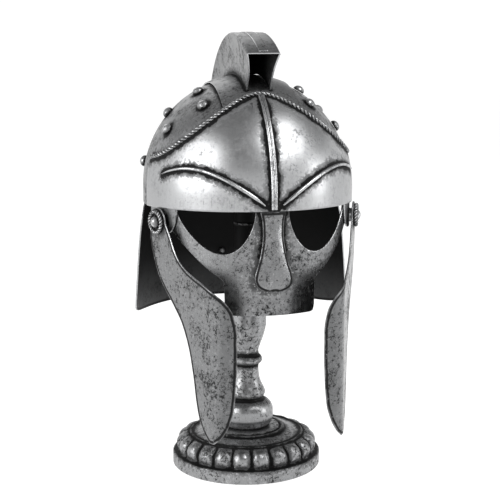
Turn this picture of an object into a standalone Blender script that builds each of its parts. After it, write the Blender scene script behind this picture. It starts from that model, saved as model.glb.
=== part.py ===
# Gladiator helmet on a display stand.
# Metres, +Z up. The helmet faces -Y and the wearer's left is +X.
# The origin is the middle of the stand's flat underside.

import math

import bmesh
import bpy
from mathutils import Matrix, Vector

# Fits between pieces
clear = 0.0003
seat = 0.0008  # under a sheet that lies on a curved sheet, so that their facets stay apart

# Skull: half an ellipsoid on a short upright wall
skull_wall = 0.0018
skull_half_width = 0.1030
skull_half_length = 0.1145
skull_rise = 0.1070
spring_height = 0.2900  # floor to the foot of the ellipsoid
rim_drop = 0.0165
rim_arch = 0.0055  # how much higher the rim runs at the brow
tab_drop = 0.0245
tab_half_angle = 11.0

# Worked plates
plate_wall = 0.0016
lap = 0.0100  # how far a plate runs up inside the skull

# Brow plate, its rope border and its ribs
brow_end = 80.0
brow_peak_lift = 58.0
brow_end_lift = 16.0
rope_radius = 0.0021
rib_height = 0.0024
rib_half_width = 0.0019
centre_rib_half_width = 0.0030
brow_rib_end = 63.0
brow_rib_peak_lift = 14.0
brow_rib_start = 4.6

# Crest and the saddle strap that it stands on
saddle_half_width = 0.0360
saddle_end = 174.0
crest_height = 0.0420
crest_gap = 1.5  # degrees behind the rope border
crest_setback = 6.0  # degrees short of the saddle's end
crest_base_width = 0.0240
crest_top_width = 0.0325
crest_wall = 0.0016

# Studs round the skull
stud_radius = 0.0056
stud_height = 0.0050

# Face plate, nasal
face_drop = 0.0935
eye_inner = 9.0
temple_strip = 6.0
eye_drop = 0.0410
nasal_length = 0.0735
nasal_half_width = 0.0180
nasal_ridge = 0.0042
nasal_lean = 0.0060
nasal_wall = 0.0020

# Cheek guards and the bosses that they hang on
boss_bearing = 65.5
boss_drop = 0.0130
ear_radius = 0.0130
ear_play = 0.0010
guard_wall = 0.0016
guard_drop = 0.1965
guard_sweep = 0.0900
guard_reach = 0.1150
fold_start = 0.0880
fold_radius = 0.0200
fold_angle = 60.0
shank_radius = 0.0030
collar_radius = 0.0068
boss_radius = 0.0066
boss_height = 0.0056
button_wall = 0.0016
button_lip = 0.0022
boss_flange = 0.0008
ring_radius = 0.0100
ring_wire = 0.0019

# Neck guard and rivets
neck_start = 97.0
neck_drop = 0.1225
neck_middle_drop = 0.0585
neck_flare = 0.0130
rivet_radius = 0.0038
rivet_height = 0.0019
rivet_shank = 0.0014
rivet_tail = 0.0010
nape_rivet_drop = 0.0725
lap_rivet_rise = 0.0050
lap_rivet_bearing = 132.0

# Stand
base_radius = 0.0760
base_height = 0.0390
lobe_count = 22
lobe_depth = 0.0034
column_radius = 0.0278
column_height = 0.1330
post_radius = 0.0115
rest_radius = 0.0280
rest_edge = 0.0040

# How finely round pieces are cut
ring_steps = 36
round_sides = 12
column_sides = 24
sharp_angle = 35.0
drill_length = 0.0120

# Shade and roughness of the metal, by piece
piece_metals = {
    "sheet": (0.42, 0.36),
    "cast": (0.34, 0.42),
    "skull": (0.36, 0.40),
    "crest": (0.38, 0.38),
    "crest_saddle": (0.36, 0.40),
    "brow_plate": (0.46, 0.32),
    "neck_guard": (0.36, 0.42),
}

# Upper outline of the crest, front to back
crest_table = [
    # share of its length, share of its height, lean forward in degrees
    (0.000, 1.00, 5.0),
    (0.038, 1.00, 3.5),
    (0.095, 1.00, 2.0),
    (0.171, 1.00, 1.0),
    (0.267, 0.98, 0.0),
    (0.362, 0.93, 0.0),
    (0.457, 0.85, 0.0),
    (0.552, 0.75, 0.0),
    (0.648, 0.63, 0.0),
    (0.743, 0.50, 0.0),
    (0.838, 0.37, 0.0),
    (0.924, 0.26, 0.0),
    (1.000, 0.17, 0.0),
]

# Lower outline of the face plate, middle to temple
face_table = [
    # share of its bearing, share of its drop
    (0.000, 1.00),
    (0.382, 1.00),
    (0.405, 0.985),
    (0.416, 0.93),
    (0.421, 0.665),
    (0.453, 0.625),
    (0.550, 0.555),
    (0.680, 0.445),
    (0.810, 0.325),
    (0.922, 0.215),
    (1.000, 0.150),
]

# Outline of the nasal, top to tip
nasal_table = [
    # share of the length, half width, ridge
    (0.00, 0.66, 0.55),
    (0.12, 0.55, 0.75),
    (0.28, 0.52, 1.00),
    (0.48, 0.61, 1.00),
    (0.66, 0.78, 1.00),
    (0.80, 0.96, 0.90),
    (0.88, 1.00, 0.80),
    (0.94, 0.88, 0.70),
    (0.98, 0.60, 0.60),
    (1.00, 0.22, 0.55),
]

# Outline of a cheek guard's blade, below the middle of its ear
guard_table = [
    # share of the drop, rear edge's share of the sweep, front edge's share of the reach
    (0.000, 0.00, 0.000),
    (0.060, 0.00, 0.080),
    (0.120, 0.02, 0.150),
    (0.165, 0.055, 0.230),
    (0.200, 0.09, 0.340),
    (0.228, 0.12, 0.490),
    (0.252, 0.15, 0.660),
    (0.280, 0.195, 0.800),
    (0.320, 0.28, 0.905),
    (0.380, 0.43, 0.970),
    (0.470, 0.62, 1.000),
    (0.590, 0.755, 1.000),
    (0.720, 0.835, 0.990),
    (0.830, 0.885, 0.970),
    (0.910, 0.945, 0.925),
    (0.965, 1.03, 0.865),
    (1.000, 1.13, 0.790),
]

# Studs on one side of the skull
stud_table = [
    # bearing, lift above the rope border
    (52.0, 22.5),
    (74.0, 16.5),
    (78.0, 44.0),
    (96.0, 26.0),
    (106.0, -4.0),
]

# Section of the foot, outside in
base_table = [
    # share of the radius, share of the height, share of the lobes' depth
    (1.000, 0.00, 0.0),
    (1.000, 0.31, 0.0),
    (0.985, 0.35, 0.0),
    (0.945, 0.37, 0.0),
    (0.950, 0.47, 1.0),
    (0.925, 0.62, 1.0),
    (0.865, 0.75, 1.0),
    (0.790, 0.81, 0.7),
    (0.755, 0.82, 0.0),
    (0.730, 0.85, 0.0),
    (0.520, 0.93, 0.0),
    (0.385, 1.00, 0.0),
]

# Turned section of the column, bottom to top
column_table = [
    # share of the height, share of the radius
    (0.000, 0.86),
    (0.030, 0.94),
    (0.075, 1.00),
    (0.125, 1.00),
    (0.165, 0.94),
    (0.195, 0.81),
    (0.212, 0.61),
    (0.224, 0.60),
    (0.238, 0.67),
    (0.262, 0.71),
    (0.286, 0.68),
    (0.332, 0.57),
    (0.385, 0.49),
    (0.460, 0.455),
    (0.490, 0.48),
    (0.500, 0.55),
    (0.524, 0.60),
    (0.548, 0.55),
    (0.560, 0.48),
    (0.590, 0.455),
    (0.650, 0.535),
    (0.740, 0.68),
    (0.820, 0.745),
    (0.890, 0.74),
    (0.950, 0.66),
    (1.000, 0.47),
]


def lerp_table(table, value, column=1):
    """Value of a column of a table, read between its rows."""
    for low, high in zip(table, table[1:]):
        if value <= high[0]:
            share = (value - low[0]) / (high[0] - low[0])
            return low[column] + (high[column] - low[column]) * max(share, 0.0)
    return table[-1][column]


def skin(bearing, lift, offset):
    """Point on the skull's outer surface, or offset from it along its normal.

    Bearing is 0 at the brow and positive to the wearer's left. Lift is 0 at the foot of the
    ellipsoid and 90 at the crown; below 0 it runs down the upright wall.
    """
    turn = math.radians(bearing)
    rise = math.radians(max(lift, 0.0))
    drop = math.radians(min(lift, 0.0)) * skull_rise
    across = math.cos(rise) * math.sin(turn)
    ahead = -math.cos(rise) * math.cos(turn)
    upward = math.sin(rise)
    point = Vector((skull_half_width * across, skull_half_length * ahead, skull_rise * upward))
    normal = Vector((across / skull_half_width, ahead / skull_half_length, upward / skull_rise))
    return point + normal.normalized() * offset + Vector((0.0, 0.0, spring_height + drop))


def lift_of(height):
    """Lift at which the skin reaches a height above the floor."""
    share = (height - spring_height) / skull_rise
    return math.degrees(math.asin(share)) if share > 0.0 else math.degrees(share)


def plain_rim(bearing):
    """Height of the rim without its tabs."""
    arch = rim_arch * max(math.cos(math.radians(bearing)), 0.0)
    return spring_height - rim_drop + arch


def skull_rim(bearing):
    """Height of the skull's lower edge, with the tabs that carry the bosses."""
    away = abs(abs(bearing) - boss_bearing) / tab_half_angle
    bump = (1.0 - away ** 3) ** (1.0 / 3.0) if away < 1.0 else 0.0
    return plain_rim(bearing) - tab_drop * bump


def brow_top(bearing):
    """Lift of the brow plate's upper edge, and of its ends beyond them."""
    share = min(abs(bearing) / brow_end, 1.0)
    swing = math.cos(math.radians(90.0 * share)) ** 2
    return brow_end_lift + (brow_peak_lift - brow_end_lift) * swing


def brow_foot(bearing):
    """Lift of the brow plate's lower edge."""
    return lift_of(plain_rim(bearing) + clear)


def face_end():
    """Bearing of the face plate's ends, just short of the boss's inner button."""
    button = shank_radius + button_lip + 2.0 * seat
    return boss_bearing - math.degrees(button / skull_half_width)


def eye_outer():
    return face_end() - temple_strip


def eye_depth(bearing):
    """How far an eye opening reaches below the rim at a bearing."""
    share = (bearing - eye_inner) / (eye_outer() - eye_inner)
    if share <= 0.0 or share >= 1.0:
        return 0.0
    return eye_drop * math.sin(math.pi * share ** 0.72) ** 0.75


def metal(piece):
    """Antiqued metal of one piece."""
    shade, roughness = piece_metals.get(piece, piece_metals["sheet"])
    if piece.startswith(("stand", "head_rest")):
        shade, roughness = piece_metals["cast"]
    material = bpy.data.materials.new(piece + "_metal")
    material.use_nodes = True
    shader = material.node_tree.nodes["Principled BSDF"]
    shader.inputs["Base Color"].default_value = (shade, shade, shade * 1.02, 1.0)
    shader.inputs["Metallic"].default_value = 1.0
    shader.inputs["Roughness"].default_value = roughness
    return material


def finish(name, mesh, origin=(0.0, 0.0, 0.0)):
    """Turn a bmesh in world coordinates into an object whose origin is at the given point."""
    bmesh.ops.remove_doubles(mesh, verts=mesh.verts, dist=0.000002)
    bmesh.ops.dissolve_degenerate(mesh, edges=mesh.edges, dist=0.000001)
    bmesh.ops.recalc_face_normals(mesh, faces=mesh.faces)
    bmesh.ops.translate(mesh, verts=mesh.verts, vec=-Vector(origin))
    data = bpy.data.meshes.new(name)
    mesh.to_mesh(data)
    mesh.free()
    data.shade_smooth()
    data.set_sharp_from_angle(angle=math.radians(sharp_angle))
    data.materials.append(metal(name))
    part = bpy.data.objects.new(name, data)
    part.location = origin
    bpy.context.scene.collection.objects.link(part)
    return part


def sheet(name, place, columns, rows, inner, outer, wrap=False, origin=(0.0, 0.0, 0.0)):
    """Closed sheet between two offsets; place(column, row, offset) gives each point."""
    mesh = bmesh.new()
    skins = []
    for offset in (inner, outer):
        skins.append([[mesh.verts.new(place(c, r, offset)) for r in rows] for c in columns])
    last = len(columns) if wrap else len(columns) - 1
    for i in range(last):
        j = (i + 1) % len(columns)
        for k in range(len(rows) - 1):
            for grid in skins:
                mesh.faces.new((grid[i][k], grid[j][k], grid[j][k + 1], grid[i][k + 1]))
        for k in (0, len(rows) - 1):
            ends = [skins[0][i][k], skins[0][j][k], skins[1][j][k], skins[1][i][k]]
            mesh.faces.new(ends)
    if not wrap:
        for i in (0, len(columns) - 1):
            for k in range(len(rows) - 1):
                side = [skins[0][i][k], skins[0][i][k + 1], skins[1][i][k + 1], skins[1][i][k]]
                mesh.faces.new(side)
    return finish(name, mesh, origin)


def loft(name, sections, closed_ring=False, origin=(0.0, 0.0, 0.0)):
    """Closed body through sections that are rings of as many points each."""
    mesh = bmesh.new()
    rings = [[mesh.verts.new(point) for point in section] for section in sections]
    count = len(rings[0])
    pairs = list(zip(rings, rings[1:]))
    if closed_ring:
        pairs.append((rings[-1], rings[0]))
    for one, other in pairs:
        for i in range(count):
            j = (i + 1) % count
            mesh.faces.new((one[i], one[j], other[j], other[i]))
    if not closed_ring:
        mesh.faces.new(rings[0])
        mesh.faces.new(rings[-1])
    return finish(name, mesh, origin)


def turned(name, profile, sides, turn=None, origin=(0.0, 0.0, 0.0)):
    """Body of revolution round +Z; profile rows are radius and height, axis to axis."""
    turn = turn or Matrix.Identity(3)
    sections = []
    for radius, height in profile:
        ring = []
        for step in range(sides):
            angle = 2.0 * math.pi * step / sides
            ring.append(Vector((radius * math.cos(angle), radius * math.sin(angle), height)))
        sections.append([Vector(origin) + turn @ point for point in ring])
    mesh = bmesh.new()
    rings = [[mesh.verts.new(point) for point in section] for section in sections]
    for one, other in zip(rings, rings[1:]):
        for i in range(sides):
            j = (i + 1) % sides
            mesh.faces.new((one[i], one[j], other[j], other[i]))
    return finish(name, mesh, origin)


def dome_profile(radius, height, steps=3):
    """Rows of a round head, from its edge to its top."""
    rows = []
    for step in range(steps + 1):
        angle = 0.5 * math.pi * step / steps
        rows.append((radius * math.cos(angle), height * math.sin(angle)))
    return rows


def facing(normal):
    """Turn that takes +Z to a normal."""
    return Vector((0.0, 0.0, 1.0)).rotation_difference(normal).to_matrix()


def normal_at(bearing, lift):
    return (skin(bearing, lift, 1.0) - skin(bearing, lift, 0.0)).normalized()


def drill(part, point, direction, radius):
    """Cut a round hole right through a sheet."""
    mesh = bmesh.new()
    bmesh.ops.create_cone(
        mesh, cap_ends=True, segments=round_sides, radius1=radius, radius2=radius, depth=drill_length
    )
    data = bpy.data.meshes.new("cutter")
    mesh.to_mesh(data)
    mesh.free()
    cutter = bpy.data.objects.new("cutter_" + part.name, data)
    cutter.matrix_world = Matrix.Translation(point) @ facing(direction).to_4x4()
    cutter.hide_render = True
    cutter.display_type = "WIRE"
    bpy.context.scene.collection.objects.link(cutter)
    cut = part.modifiers.new("hole", "BOOLEAN")
    cut.operation = "DIFFERENCE"
    cut.solver = "EXACT"
    cut.object = cutter


def boss_seat(side):
    """Point on the skull's outer surface under a boss, and the normal there."""
    height = plain_rim(boss_bearing) - boss_drop
    lift = lift_of(height)
    return skin(side * boss_bearing, lift, 0.0), normal_at(side * boss_bearing, lift)


def guard_offset():
    """Gap between the skull and a guard's inner face at its boss."""
    return seat + plate_wall + ear_play


def skull_bearings():
    """Bearings of the skull's columns, closer together at its tabs."""
    spread = [-1.0, -0.93, -0.70, 0.0, 0.70, 0.93, 1.0]
    found = []
    for middle in (boss_bearing, -boss_bearing % 360.0):
        found += [middle + share * tab_half_angle for share in spread]
    for step in range(ring_steps):
        bearing = 360.0 * step / ring_steps
        if all(abs(bearing - m) > tab_half_angle + 3.0 for m in (boss_bearing, 360.0 - boss_bearing)):
            found.append(bearing)
    return sorted(found)


def make_skull():
    lifts = [0.0, 11.0, 22.0, 33.0, 44.5, 56.0, 67.5, 79.0, 90.0]

    def place(bearing, row, offset):
        around = bearing if bearing <= 180.0 else bearing - 360.0
        lift = lift_of(skull_rim(around)) if row < 0 else lifts[row]
        return skin(around, lift, offset)

    rows = range(-1, len(lifts))
    part = sheet("skull", place, skull_bearings(), rows, -skull_wall, 0.0, wrap=True)
    for side in (1, -1):
        point, normal = boss_seat(side)
        drill(part, point, normal, shank_radius + 2.0 * clear)
    for bearing in lap_rivet_bearings():
        point, normal = lap_rivet_seat(bearing)
        drill(part, point, normal, rivet_shank + clear)
    return part


def make_brow_plate():
    columns = [brow_end * (step / 10.0 - 1.0) for step in range(21)]
    rows = [step / 8.0 for step in range(9)]

    def place(bearing, share, offset):
        foot = brow_foot(bearing)
        return skin(bearing, foot + (brow_top(bearing) - foot) * share, offset)

    sheet("brow_plate", place, columns, rows, seat, seat + plate_wall)


def rope_centre(bearing):
    """Middle of the rope border, which lies on the skull along the brow plate's edge."""
    level = clear + rope_radius
    step = 0.5
    here = skin(bearing, brow_top(bearing), level)
    along = skin(bearing + step, brow_top(bearing + step), level)
    along = along - skin(bearing - step, brow_top(bearing - step), level)
    normal = normal_at(bearing, brow_top(bearing))
    upward = along.cross(normal).normalized()
    if upward.z < 0.0:
        upward = -upward
    return here + upward * (rope_radius + seat), normal, upward


def make_brow_rope():
    sections = []
    sides = 7
    steps = 40
    for step in range(steps + 1):
        bearing = (brow_end - 1.0) * (2.0 * step / steps - 1.0)
        middle, normal, upward = rope_centre(bearing)
        ring = []
        for k in range(sides):
            angle = 2.0 * math.pi * k / sides
            ring.append(middle + (normal * math.cos(angle) + upward * math.sin(angle)) * rope_radius)
        sections.append(ring)
    loft("brow_rope", sections)


def rib_section(middle, normal, across, half_width):
    """Low round-topped section of a rib, standing on the brow plate."""
    shape = [(-1.0, 0.0), (-0.8, 0.65), (0.0, 1.0), (0.8, 0.65), (1.0, 0.0)]
    return [middle + across * (x * half_width) + normal * (y * rib_height) for x, y in shape]


def make_centre_rib():
    level = 2.0 * seat + plate_wall
    foot = brow_foot(0.0) + 1.0
    top = brow_peak_lift - 0.6
    sections = []
    for step in range(13):
        lift = foot + (top - foot) * step / 12.0
        across = Vector((1.0, 0.0, 0.0))
        middle = skin(0.0, lift, level)
        sections.append(rib_section(middle, normal_at(0.0, lift), across, centre_rib_half_width))
    loft("centre_rib", sections)


def brow_rib_lift(bearing):
    """Lift of an eyebrow rib: a round sweep from the nasal's root to the temple."""
    share = (bearing - brow_rib_start) / (brow_rib_end - brow_rib_start)
    foot = brow_foot(brow_rib_start) + 3.0
    return foot + (brow_rib_peak_lift - foot) * math.sin(0.74 * math.pi * share) ** 0.9


def make_brow_rib(name, side):
    level = 2.0 * seat + plate_wall
    sections = []
    for step in range(17):
        bearing = brow_rib_start + (brow_rib_end - brow_rib_start) * step / 16.0
        lift = brow_rib_lift(bearing)
        ahead = skin(side * (bearing + 0.5), brow_rib_lift(bearing + 0.5), level)
        behind = skin(side * (bearing - 0.5), brow_rib_lift(max(bearing - 0.5, brow_rib_start)), level)
        normal = normal_at(side * bearing, lift)
        across = (ahead - behind).cross(normal).normalized()
        middle = skin(side * bearing, lift, level)
        taper = 1.0 - 0.45 * (step / 16.0) ** 2
        sections.append(rib_section(middle, normal, across, rib_half_width * taper))
    loft(name, sections)


def midline(across, station, offset):
    """Point over the skull at a distance from the midline; station runs front to back."""
    turn = math.radians(station)
    shrink = math.sqrt(1.0 - (across / skull_half_width) ** 2)
    behind = -skull_half_length * shrink * math.cos(turn)
    above = skull_rise * shrink * math.sin(turn)
    normal = Vector(
        (across / skull_half_width ** 2, behind / skull_half_length ** 2, above / skull_rise ** 2)
    )
    point = Vector((across, behind, above + spring_height))
    return point + normal.normalized() * offset


def rope_station(across):
    """Station at which the saddle meets the rope border, at a distance from the midline."""
    low, high = 0.0, brow_end
    for _ in range(30):
        bearing = 0.5 * (low + high)
        if rope_centre(bearing)[0].x < abs(across):
            low = bearing
        else:
            high = bearing
    middle, _, upward = rope_centre(low)
    edge = middle + upward * (rope_radius + seat)
    above = (edge.z - spring_height) / skull_rise
    return math.degrees(math.atan2(above, -edge.y / skull_half_length))


def make_saddle():
    columns = [saddle_half_width * (step / 3.0 - 1.0) for step in range(7)]
    rows = [step / 14.0 for step in range(15)]

    def place(across, share, offset):
        start = rope_station(across)
        return midline(across, start + (saddle_end - start) * share, offset)

    sheet("crest_saddle", place, columns, rows, seat, seat + plate_wall)


def make_crest():
    foot = 2.0 * seat + plate_wall
    first = rope_station(0.0) + crest_gap
    length = saddle_end - crest_setback - first
    sections = []
    for share, height, lean in crest_table:
        station = first + length * share
        start = midline(0.0, station, 0.0)
        normal = (midline(0.0, station, 1.0) - start).normalized()
        tilt = Matrix.Rotation(math.radians(lean), 3, "X")
        rise = tilt @ normal
        top = start + rise * (foot + crest_height * height)
        low = 0.5 * crest_base_width
        high = 0.5 * crest_top_width
        ring = []
        for inset in (0.0, crest_wall):
            left = midline(low - inset, station, foot)
            cap = top - rise * inset
            across = Vector((high - inset, 0.0, 0.0))
            mirrored = Vector((-left.x, left.y, left.z))
            corner = [mirrored, cap - across, cap + across, left]
            ring += corner if inset == 0.0 else corner[::-1]
        sections.append(ring)
    loft("crest", sections)


def make_studs():
    for name, side in (("left", 1), ("right", -1)):
        for number, (bearing, rise) in enumerate(stud_table, 1):
            lift = brow_top(bearing) + rise
            normal = normal_at(side * bearing, lift)
            point = skin(side * bearing, lift, clear)
            profile = [(0.0, 0.0), (stud_radius, 0.0)] + dome_profile(stud_radius, stud_height)[1:]
            turned(f"stud_{name}_{number}", profile, 10, facing(normal), point)


def face_bearings():
    """Bearings of the face plate's columns on one side, from its two outlines."""
    span = eye_outer() - eye_inner
    shares = [0.0, 0.015, 0.05, 0.11, 0.19, 0.28, 0.38, 0.50, 0.62, 0.74, 0.85, 0.93, 0.98, 1.0]
    found = [eye_inner + span * share for share in shares]
    found += [face_end() * row[0] for row in face_table]
    found += [eye_inner - 0.4, eye_outer() + 0.4]
    kept = []
    for bearing in sorted(found):
        if not kept or bearing - kept[-1] > 0.25:
            kept.append(bearing)
    return kept


def make_face_plate():
    half = face_bearings()
    columns = [-bearing for bearing in reversed(half[1:])] + half
    outer = -(skull_wall + seat)

    def place(bearing, share, offset):
        around = abs(bearing)
        rim = plain_rim(around)
        low = plain_rim(90.0) - face_drop * lerp_table(face_table, around / face_end())
        inside_eye = eye_inner - 0.2 < around < eye_outer() + 0.2
        high = rim - eye_depth(around) if inside_eye else rim + lap
        return skin(bearing, lift_of(low + (high - low) * share), offset)

    sheet("face_plate", place, columns, [0.0, 1.0], outer - plate_wall, outer)


def make_nasal():
    top = plain_rim(0.0) - seat
    inner = seat - (skull_wall + seat)
    columns = [-1.0, -0.5, 0.0, 0.5, 1.0]

    def place(share, row, offset):
        drop, width, ridge = nasal_table[row]
        across = share * width * nasal_half_width
        bearing = math.degrees(math.asin(across / (skull_half_width + inner)))
        point = skin(bearing, lift_of(top - nasal_length * drop), inner)
        forward = nasal_ridge * ridge * (1.0 - abs(share)) + nasal_lean * drop ** 2 + offset
        return point - Vector((0.0, forward, 0.0))

    sheet("nasal", place, columns, range(len(nasal_table)), 0.0, nasal_wall)


def guard_plan(along, offset):
    """Forward and outward place of a length along a guard's bent sheet."""
    radius = fold_radius
    bend = math.radians(fold_angle)
    outward = guard_offset() + offset
    if along <= fold_start:
        return along, outward
    turn = min((along - fold_start) / radius, bend)
    forward = fold_start + (radius + offset) * math.sin(turn)
    inward = radius - (radius + offset) * math.cos(turn)
    rest = along - fold_start - radius * turn
    return forward + rest * math.cos(turn), guard_offset() - inward - rest * math.sin(turn)


def guard_rows():
    """Drop, rear edge and front edge of each row: a round ear, then the blade."""
    rows = []
    for angle in (0.0, 25.0, 50.0, 75.0):
        turn = math.radians(angle)
        reach = max(ear_radius * math.sin(turn), 0.12 * ear_radius)
        rows.append((-ear_radius * math.cos(turn), -reach, reach))
    for drop, rear, front in guard_table:
        back = guard_sweep * rear - ear_radius
        rows.append((guard_drop * drop, back, ear_radius + (guard_reach - ear_radius) * front))
    return rows


def guard_columns(back, front):
    """Lengths along one row of a guard, with the fold's own stations."""
    plain_end = max(min(front, fold_start), back)
    found = [back + (plain_end - back) * step / 4.0 for step in range(5)]
    fold_length = fold_radius * math.radians(fold_angle)
    for step in range(1, 5):
        found.append(min(max(fold_start + fold_length * step / 4.0, back), front))
    return found + [front]


def make_cheek_guard(name, side):
    point, normal = boss_seat(side)
    forward = Vector((-side * abs(normal.y), -abs(normal.x), 0.0))
    rows = guard_rows()

    def place(column, row, offset):
        drop, back, front = rows[row]
        along, outward = guard_plan(guard_columns(back, front)[column], offset)
        return point + forward * along + normal * outward - Vector((0.0, 0.0, drop))

    columns = range(len(guard_columns(0.0, 1.0)))
    part = sheet(name, place, columns, range(len(rows)), 0.0, guard_wall, origin=point)
    drill(part, point + normal * guard_offset(), normal, shank_radius + 2.0 * clear)


def make_boss(name, side):
    point, normal = boss_seat(side)
    inside = -(skull_wall + seat)
    ear = guard_offset()
    head = ear + guard_wall + clear
    button_radius = shank_radius + button_lip
    profile = [
        (0.0, inside - button_wall),
        (button_radius, inside - button_wall),
        (button_radius, inside),
        (shank_radius, inside),
        (shank_radius, clear),
        (collar_radius, clear),
        (collar_radius, ear - clear),
        (shank_radius, ear - clear),
        (shank_radius, head),
        (boss_radius, head),
    ]
    dome = dome_profile(boss_radius, boss_height)
    profile += [(radius, head + boss_flange + rise) for radius, rise in dome]
    turned(name, profile, round_sides, facing(normal), point)


def make_ring(name, side):
    point, normal = boss_seat(side)
    turn = facing(normal)
    level = guard_offset() + guard_wall + clear + ring_wire
    sections = []
    steps = 18
    for step in range(steps):
        angle = 2.0 * math.pi * step / steps
        outward = turn @ Vector((math.cos(angle), math.sin(angle), 0.0))
        middle = point + normal * level + outward * ring_radius
        ring = []
        for k in range(6):
            roll = 2.0 * math.pi * k / 6
            ring.append(middle + (outward * math.cos(roll) + normal * math.sin(roll)) * ring_wire)
        sections.append(ring)
    loft(name, sections, closed_ring=True, origin=point)


def neck_low():
    """Height of the neck guard's lower edge."""
    return plain_rim(180.0) - neck_drop


def neck_knee():
    """Height at which the neck guard leaves the inside of the skull."""
    return plain_rim(180.0) - 0.5 * plate_wall


def neck_offset(height):
    """Outward place of the neck guard's outer face: inside the skull, then flared."""
    inside = -(skull_wall + seat)
    below = neck_knee() - height
    if below <= 0.0:
        return inside
    share = below / (neck_knee() - neck_low())
    return inside + neck_flare * math.sqrt(share)


def neck_height(bearing, row):
    """Height of a row of the neck guard, whose front corners are rounded.

    Rows up to 1 share the way up to the knee, and row 2 is the upper edge.
    """
    away = min(abs(bearing - 180.0) / (180.0 - neck_start), 1.0)
    swell = (1.0 - away ** 6) ** (1.0 / 6.0)
    middle = plain_rim(180.0) - neck_middle_drop
    top = middle + (plain_rim(180.0) + lap - middle) * swell
    low = middle + (neck_low() - middle) * swell
    knee = neck_knee() if top > neck_knee() + clear else low + 0.93 * (top - low)
    return top if row > 1.0 else low + (knee - low) * row


def make_neck_guard():
    half = 180.0 - neck_start
    shares = [-0.998, -0.975, -0.92, -0.83, -0.72, -0.60, -0.48, -0.36, -0.24, -0.12, 0.0]
    columns = [180.0 + half * share for share in shares]
    columns += [180.0 - half * share for share in reversed(shares[:-1])]
    rows = [0.0, 0.25, 0.48, 0.68, 0.82, 0.93, 1.0, 2.0]

    def place(bearing, row, offset):
        height = neck_height(bearing, row)
        return skin(bearing, lift_of(height), neck_offset(height) + offset)

    part = sheet("neck_guard", place, columns, rows, -plate_wall, 0.0)
    for bearing in lap_rivet_bearings():
        point, normal = lap_rivet_seat(bearing)
        drill(part, point, normal, rivet_shank + clear)
    point, normal = nape_rivet_seat()
    drill(part, point, normal, rivet_shank + clear)


def lap_rivet_bearings():
    return (lap_rivet_bearing, 180.0, 360.0 - lap_rivet_bearing)


def lap_rivet_seat(bearing):
    lift = lift_of(plain_rim(bearing) + lap_rivet_rise)
    return skin(bearing, lift, 0.0), normal_at(bearing, lift)


def nape_rivet_seat():
    height = plain_rim(180.0) - nape_rivet_drop
    return skin(180.0, lift_of(height), neck_offset(height)), normal_at(180.0, lift_of(height))


def make_rivet(name, point, normal, depth):
    """Rivet whose head lies on a surface and whose tail is closed behind it."""
    tail_radius = 0.8 * rivet_radius
    profile = [
        (0.0, -depth - rivet_tail),
        (tail_radius, -depth - rivet_tail),
        (tail_radius, -depth),
        (rivet_shank, -depth),
        (rivet_shank, clear),
        (rivet_radius, clear),
    ]
    dome = dome_profile(rivet_radius, rivet_height, 2)[1:]
    profile += [(radius, clear + rise) for radius, rise in dome]
    turned(name, profile, 8, facing(normal), point)


def make_rivets():
    depth = skull_wall + plate_wall + 2.0 * seat
    for name, bearing in zip(("left", "back", "right"), lap_rivet_bearings()):
        point, normal = lap_rivet_seat(bearing)
        make_rivet("neck_rivet_" + name, point, normal, depth)
    point, normal = nape_rivet_seat()
    make_rivet("nape_rivet", point, normal, plate_wall + seat)


def make_base():
    steps = 4 * lobe_count
    mesh = bmesh.new()
    rings = []
    for radius_share, height_share, lobe in base_table:
        ring = []
        for step in range(steps):
            angle = 2.0 * math.pi * step / steps
            groove = (1.0 - abs(math.sin(0.5 * lobe_count * angle))) * lobe * lobe_depth
            radius = base_radius * radius_share - 0.7 * groove
            height = base_height * height_share - 0.6 * groove
            ring.append(mesh.verts.new((radius * math.cos(angle), radius * math.sin(angle), height)))
        rings.append(ring)
    for one, other in zip(rings, rings[1:]):
        for i in range(steps):
            j = (i + 1) % steps
            mesh.faces.new((one[i], one[j], other[j], other[i]))
    mesh.faces.new(rings[0])
    mesh.faces.new(rings[-1])
    finish("stand_base", mesh)


def column_foot():
    return base_height + clear


def post_foot():
    return column_foot() + column_height + clear


def rest_foot():
    """Height of the head rest's flat underside."""
    reach = rest_radius / (skull_half_width - skull_wall)
    edge = (skull_rise - skull_wall) * math.sqrt(1.0 - reach ** 2)
    return spring_height + edge - seat - rest_edge


def make_column():
    foot = column_foot()
    profile = [(0.0, foot)]
    profile += [(column_radius * radius, foot + column_height * height) for height, radius in column_table]
    profile.append((0.0, foot + column_height))
    turned("stand_column", profile, column_sides)


def make_post():
    profile = [
        (0.0, post_foot()),
        (post_radius, post_foot()),
        (post_radius, rest_foot() - clear),
        (0.0, rest_foot() - clear),
    ]
    turned("stand_post", profile, column_sides)


def make_head_rest():
    """Cap whose top follows the inside of the crown."""
    inner_width = skull_half_width - skull_wall
    inner_length = skull_half_length - skull_wall
    inner_rise = skull_rise - skull_wall
    mesh = bmesh.new()
    rings = []
    for share in (1.0, 0.75, 0.5, 0.25, 0.0):
        ring = []
        for step in range(column_sides):
            angle = 2.0 * math.pi * step / column_sides
            x = rest_radius * share * math.cos(angle)
            y = rest_radius * share * math.sin(angle)
            rise = inner_rise * math.sqrt(1.0 - (x / inner_width) ** 2 - (y / inner_length) ** 2)
            ring.append(mesh.verts.new((x, y, spring_height + rise - seat)))
        rings.append(ring)
    floor = []
    for step in range(column_sides):
        angle = 2.0 * math.pi * step / column_sides
        place = (rest_radius * math.cos(angle), rest_radius * math.sin(angle), rest_foot())
        floor.append(mesh.verts.new(place))
    rings.insert(0, floor)
    for one, other in zip(rings, rings[1:]):
        for i in range(column_sides):
            j = (i + 1) % column_sides
            mesh.faces.new((one[i], one[j], other[j], other[i]))
    mesh.faces.new(floor)
    finish("head_rest", mesh)


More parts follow.
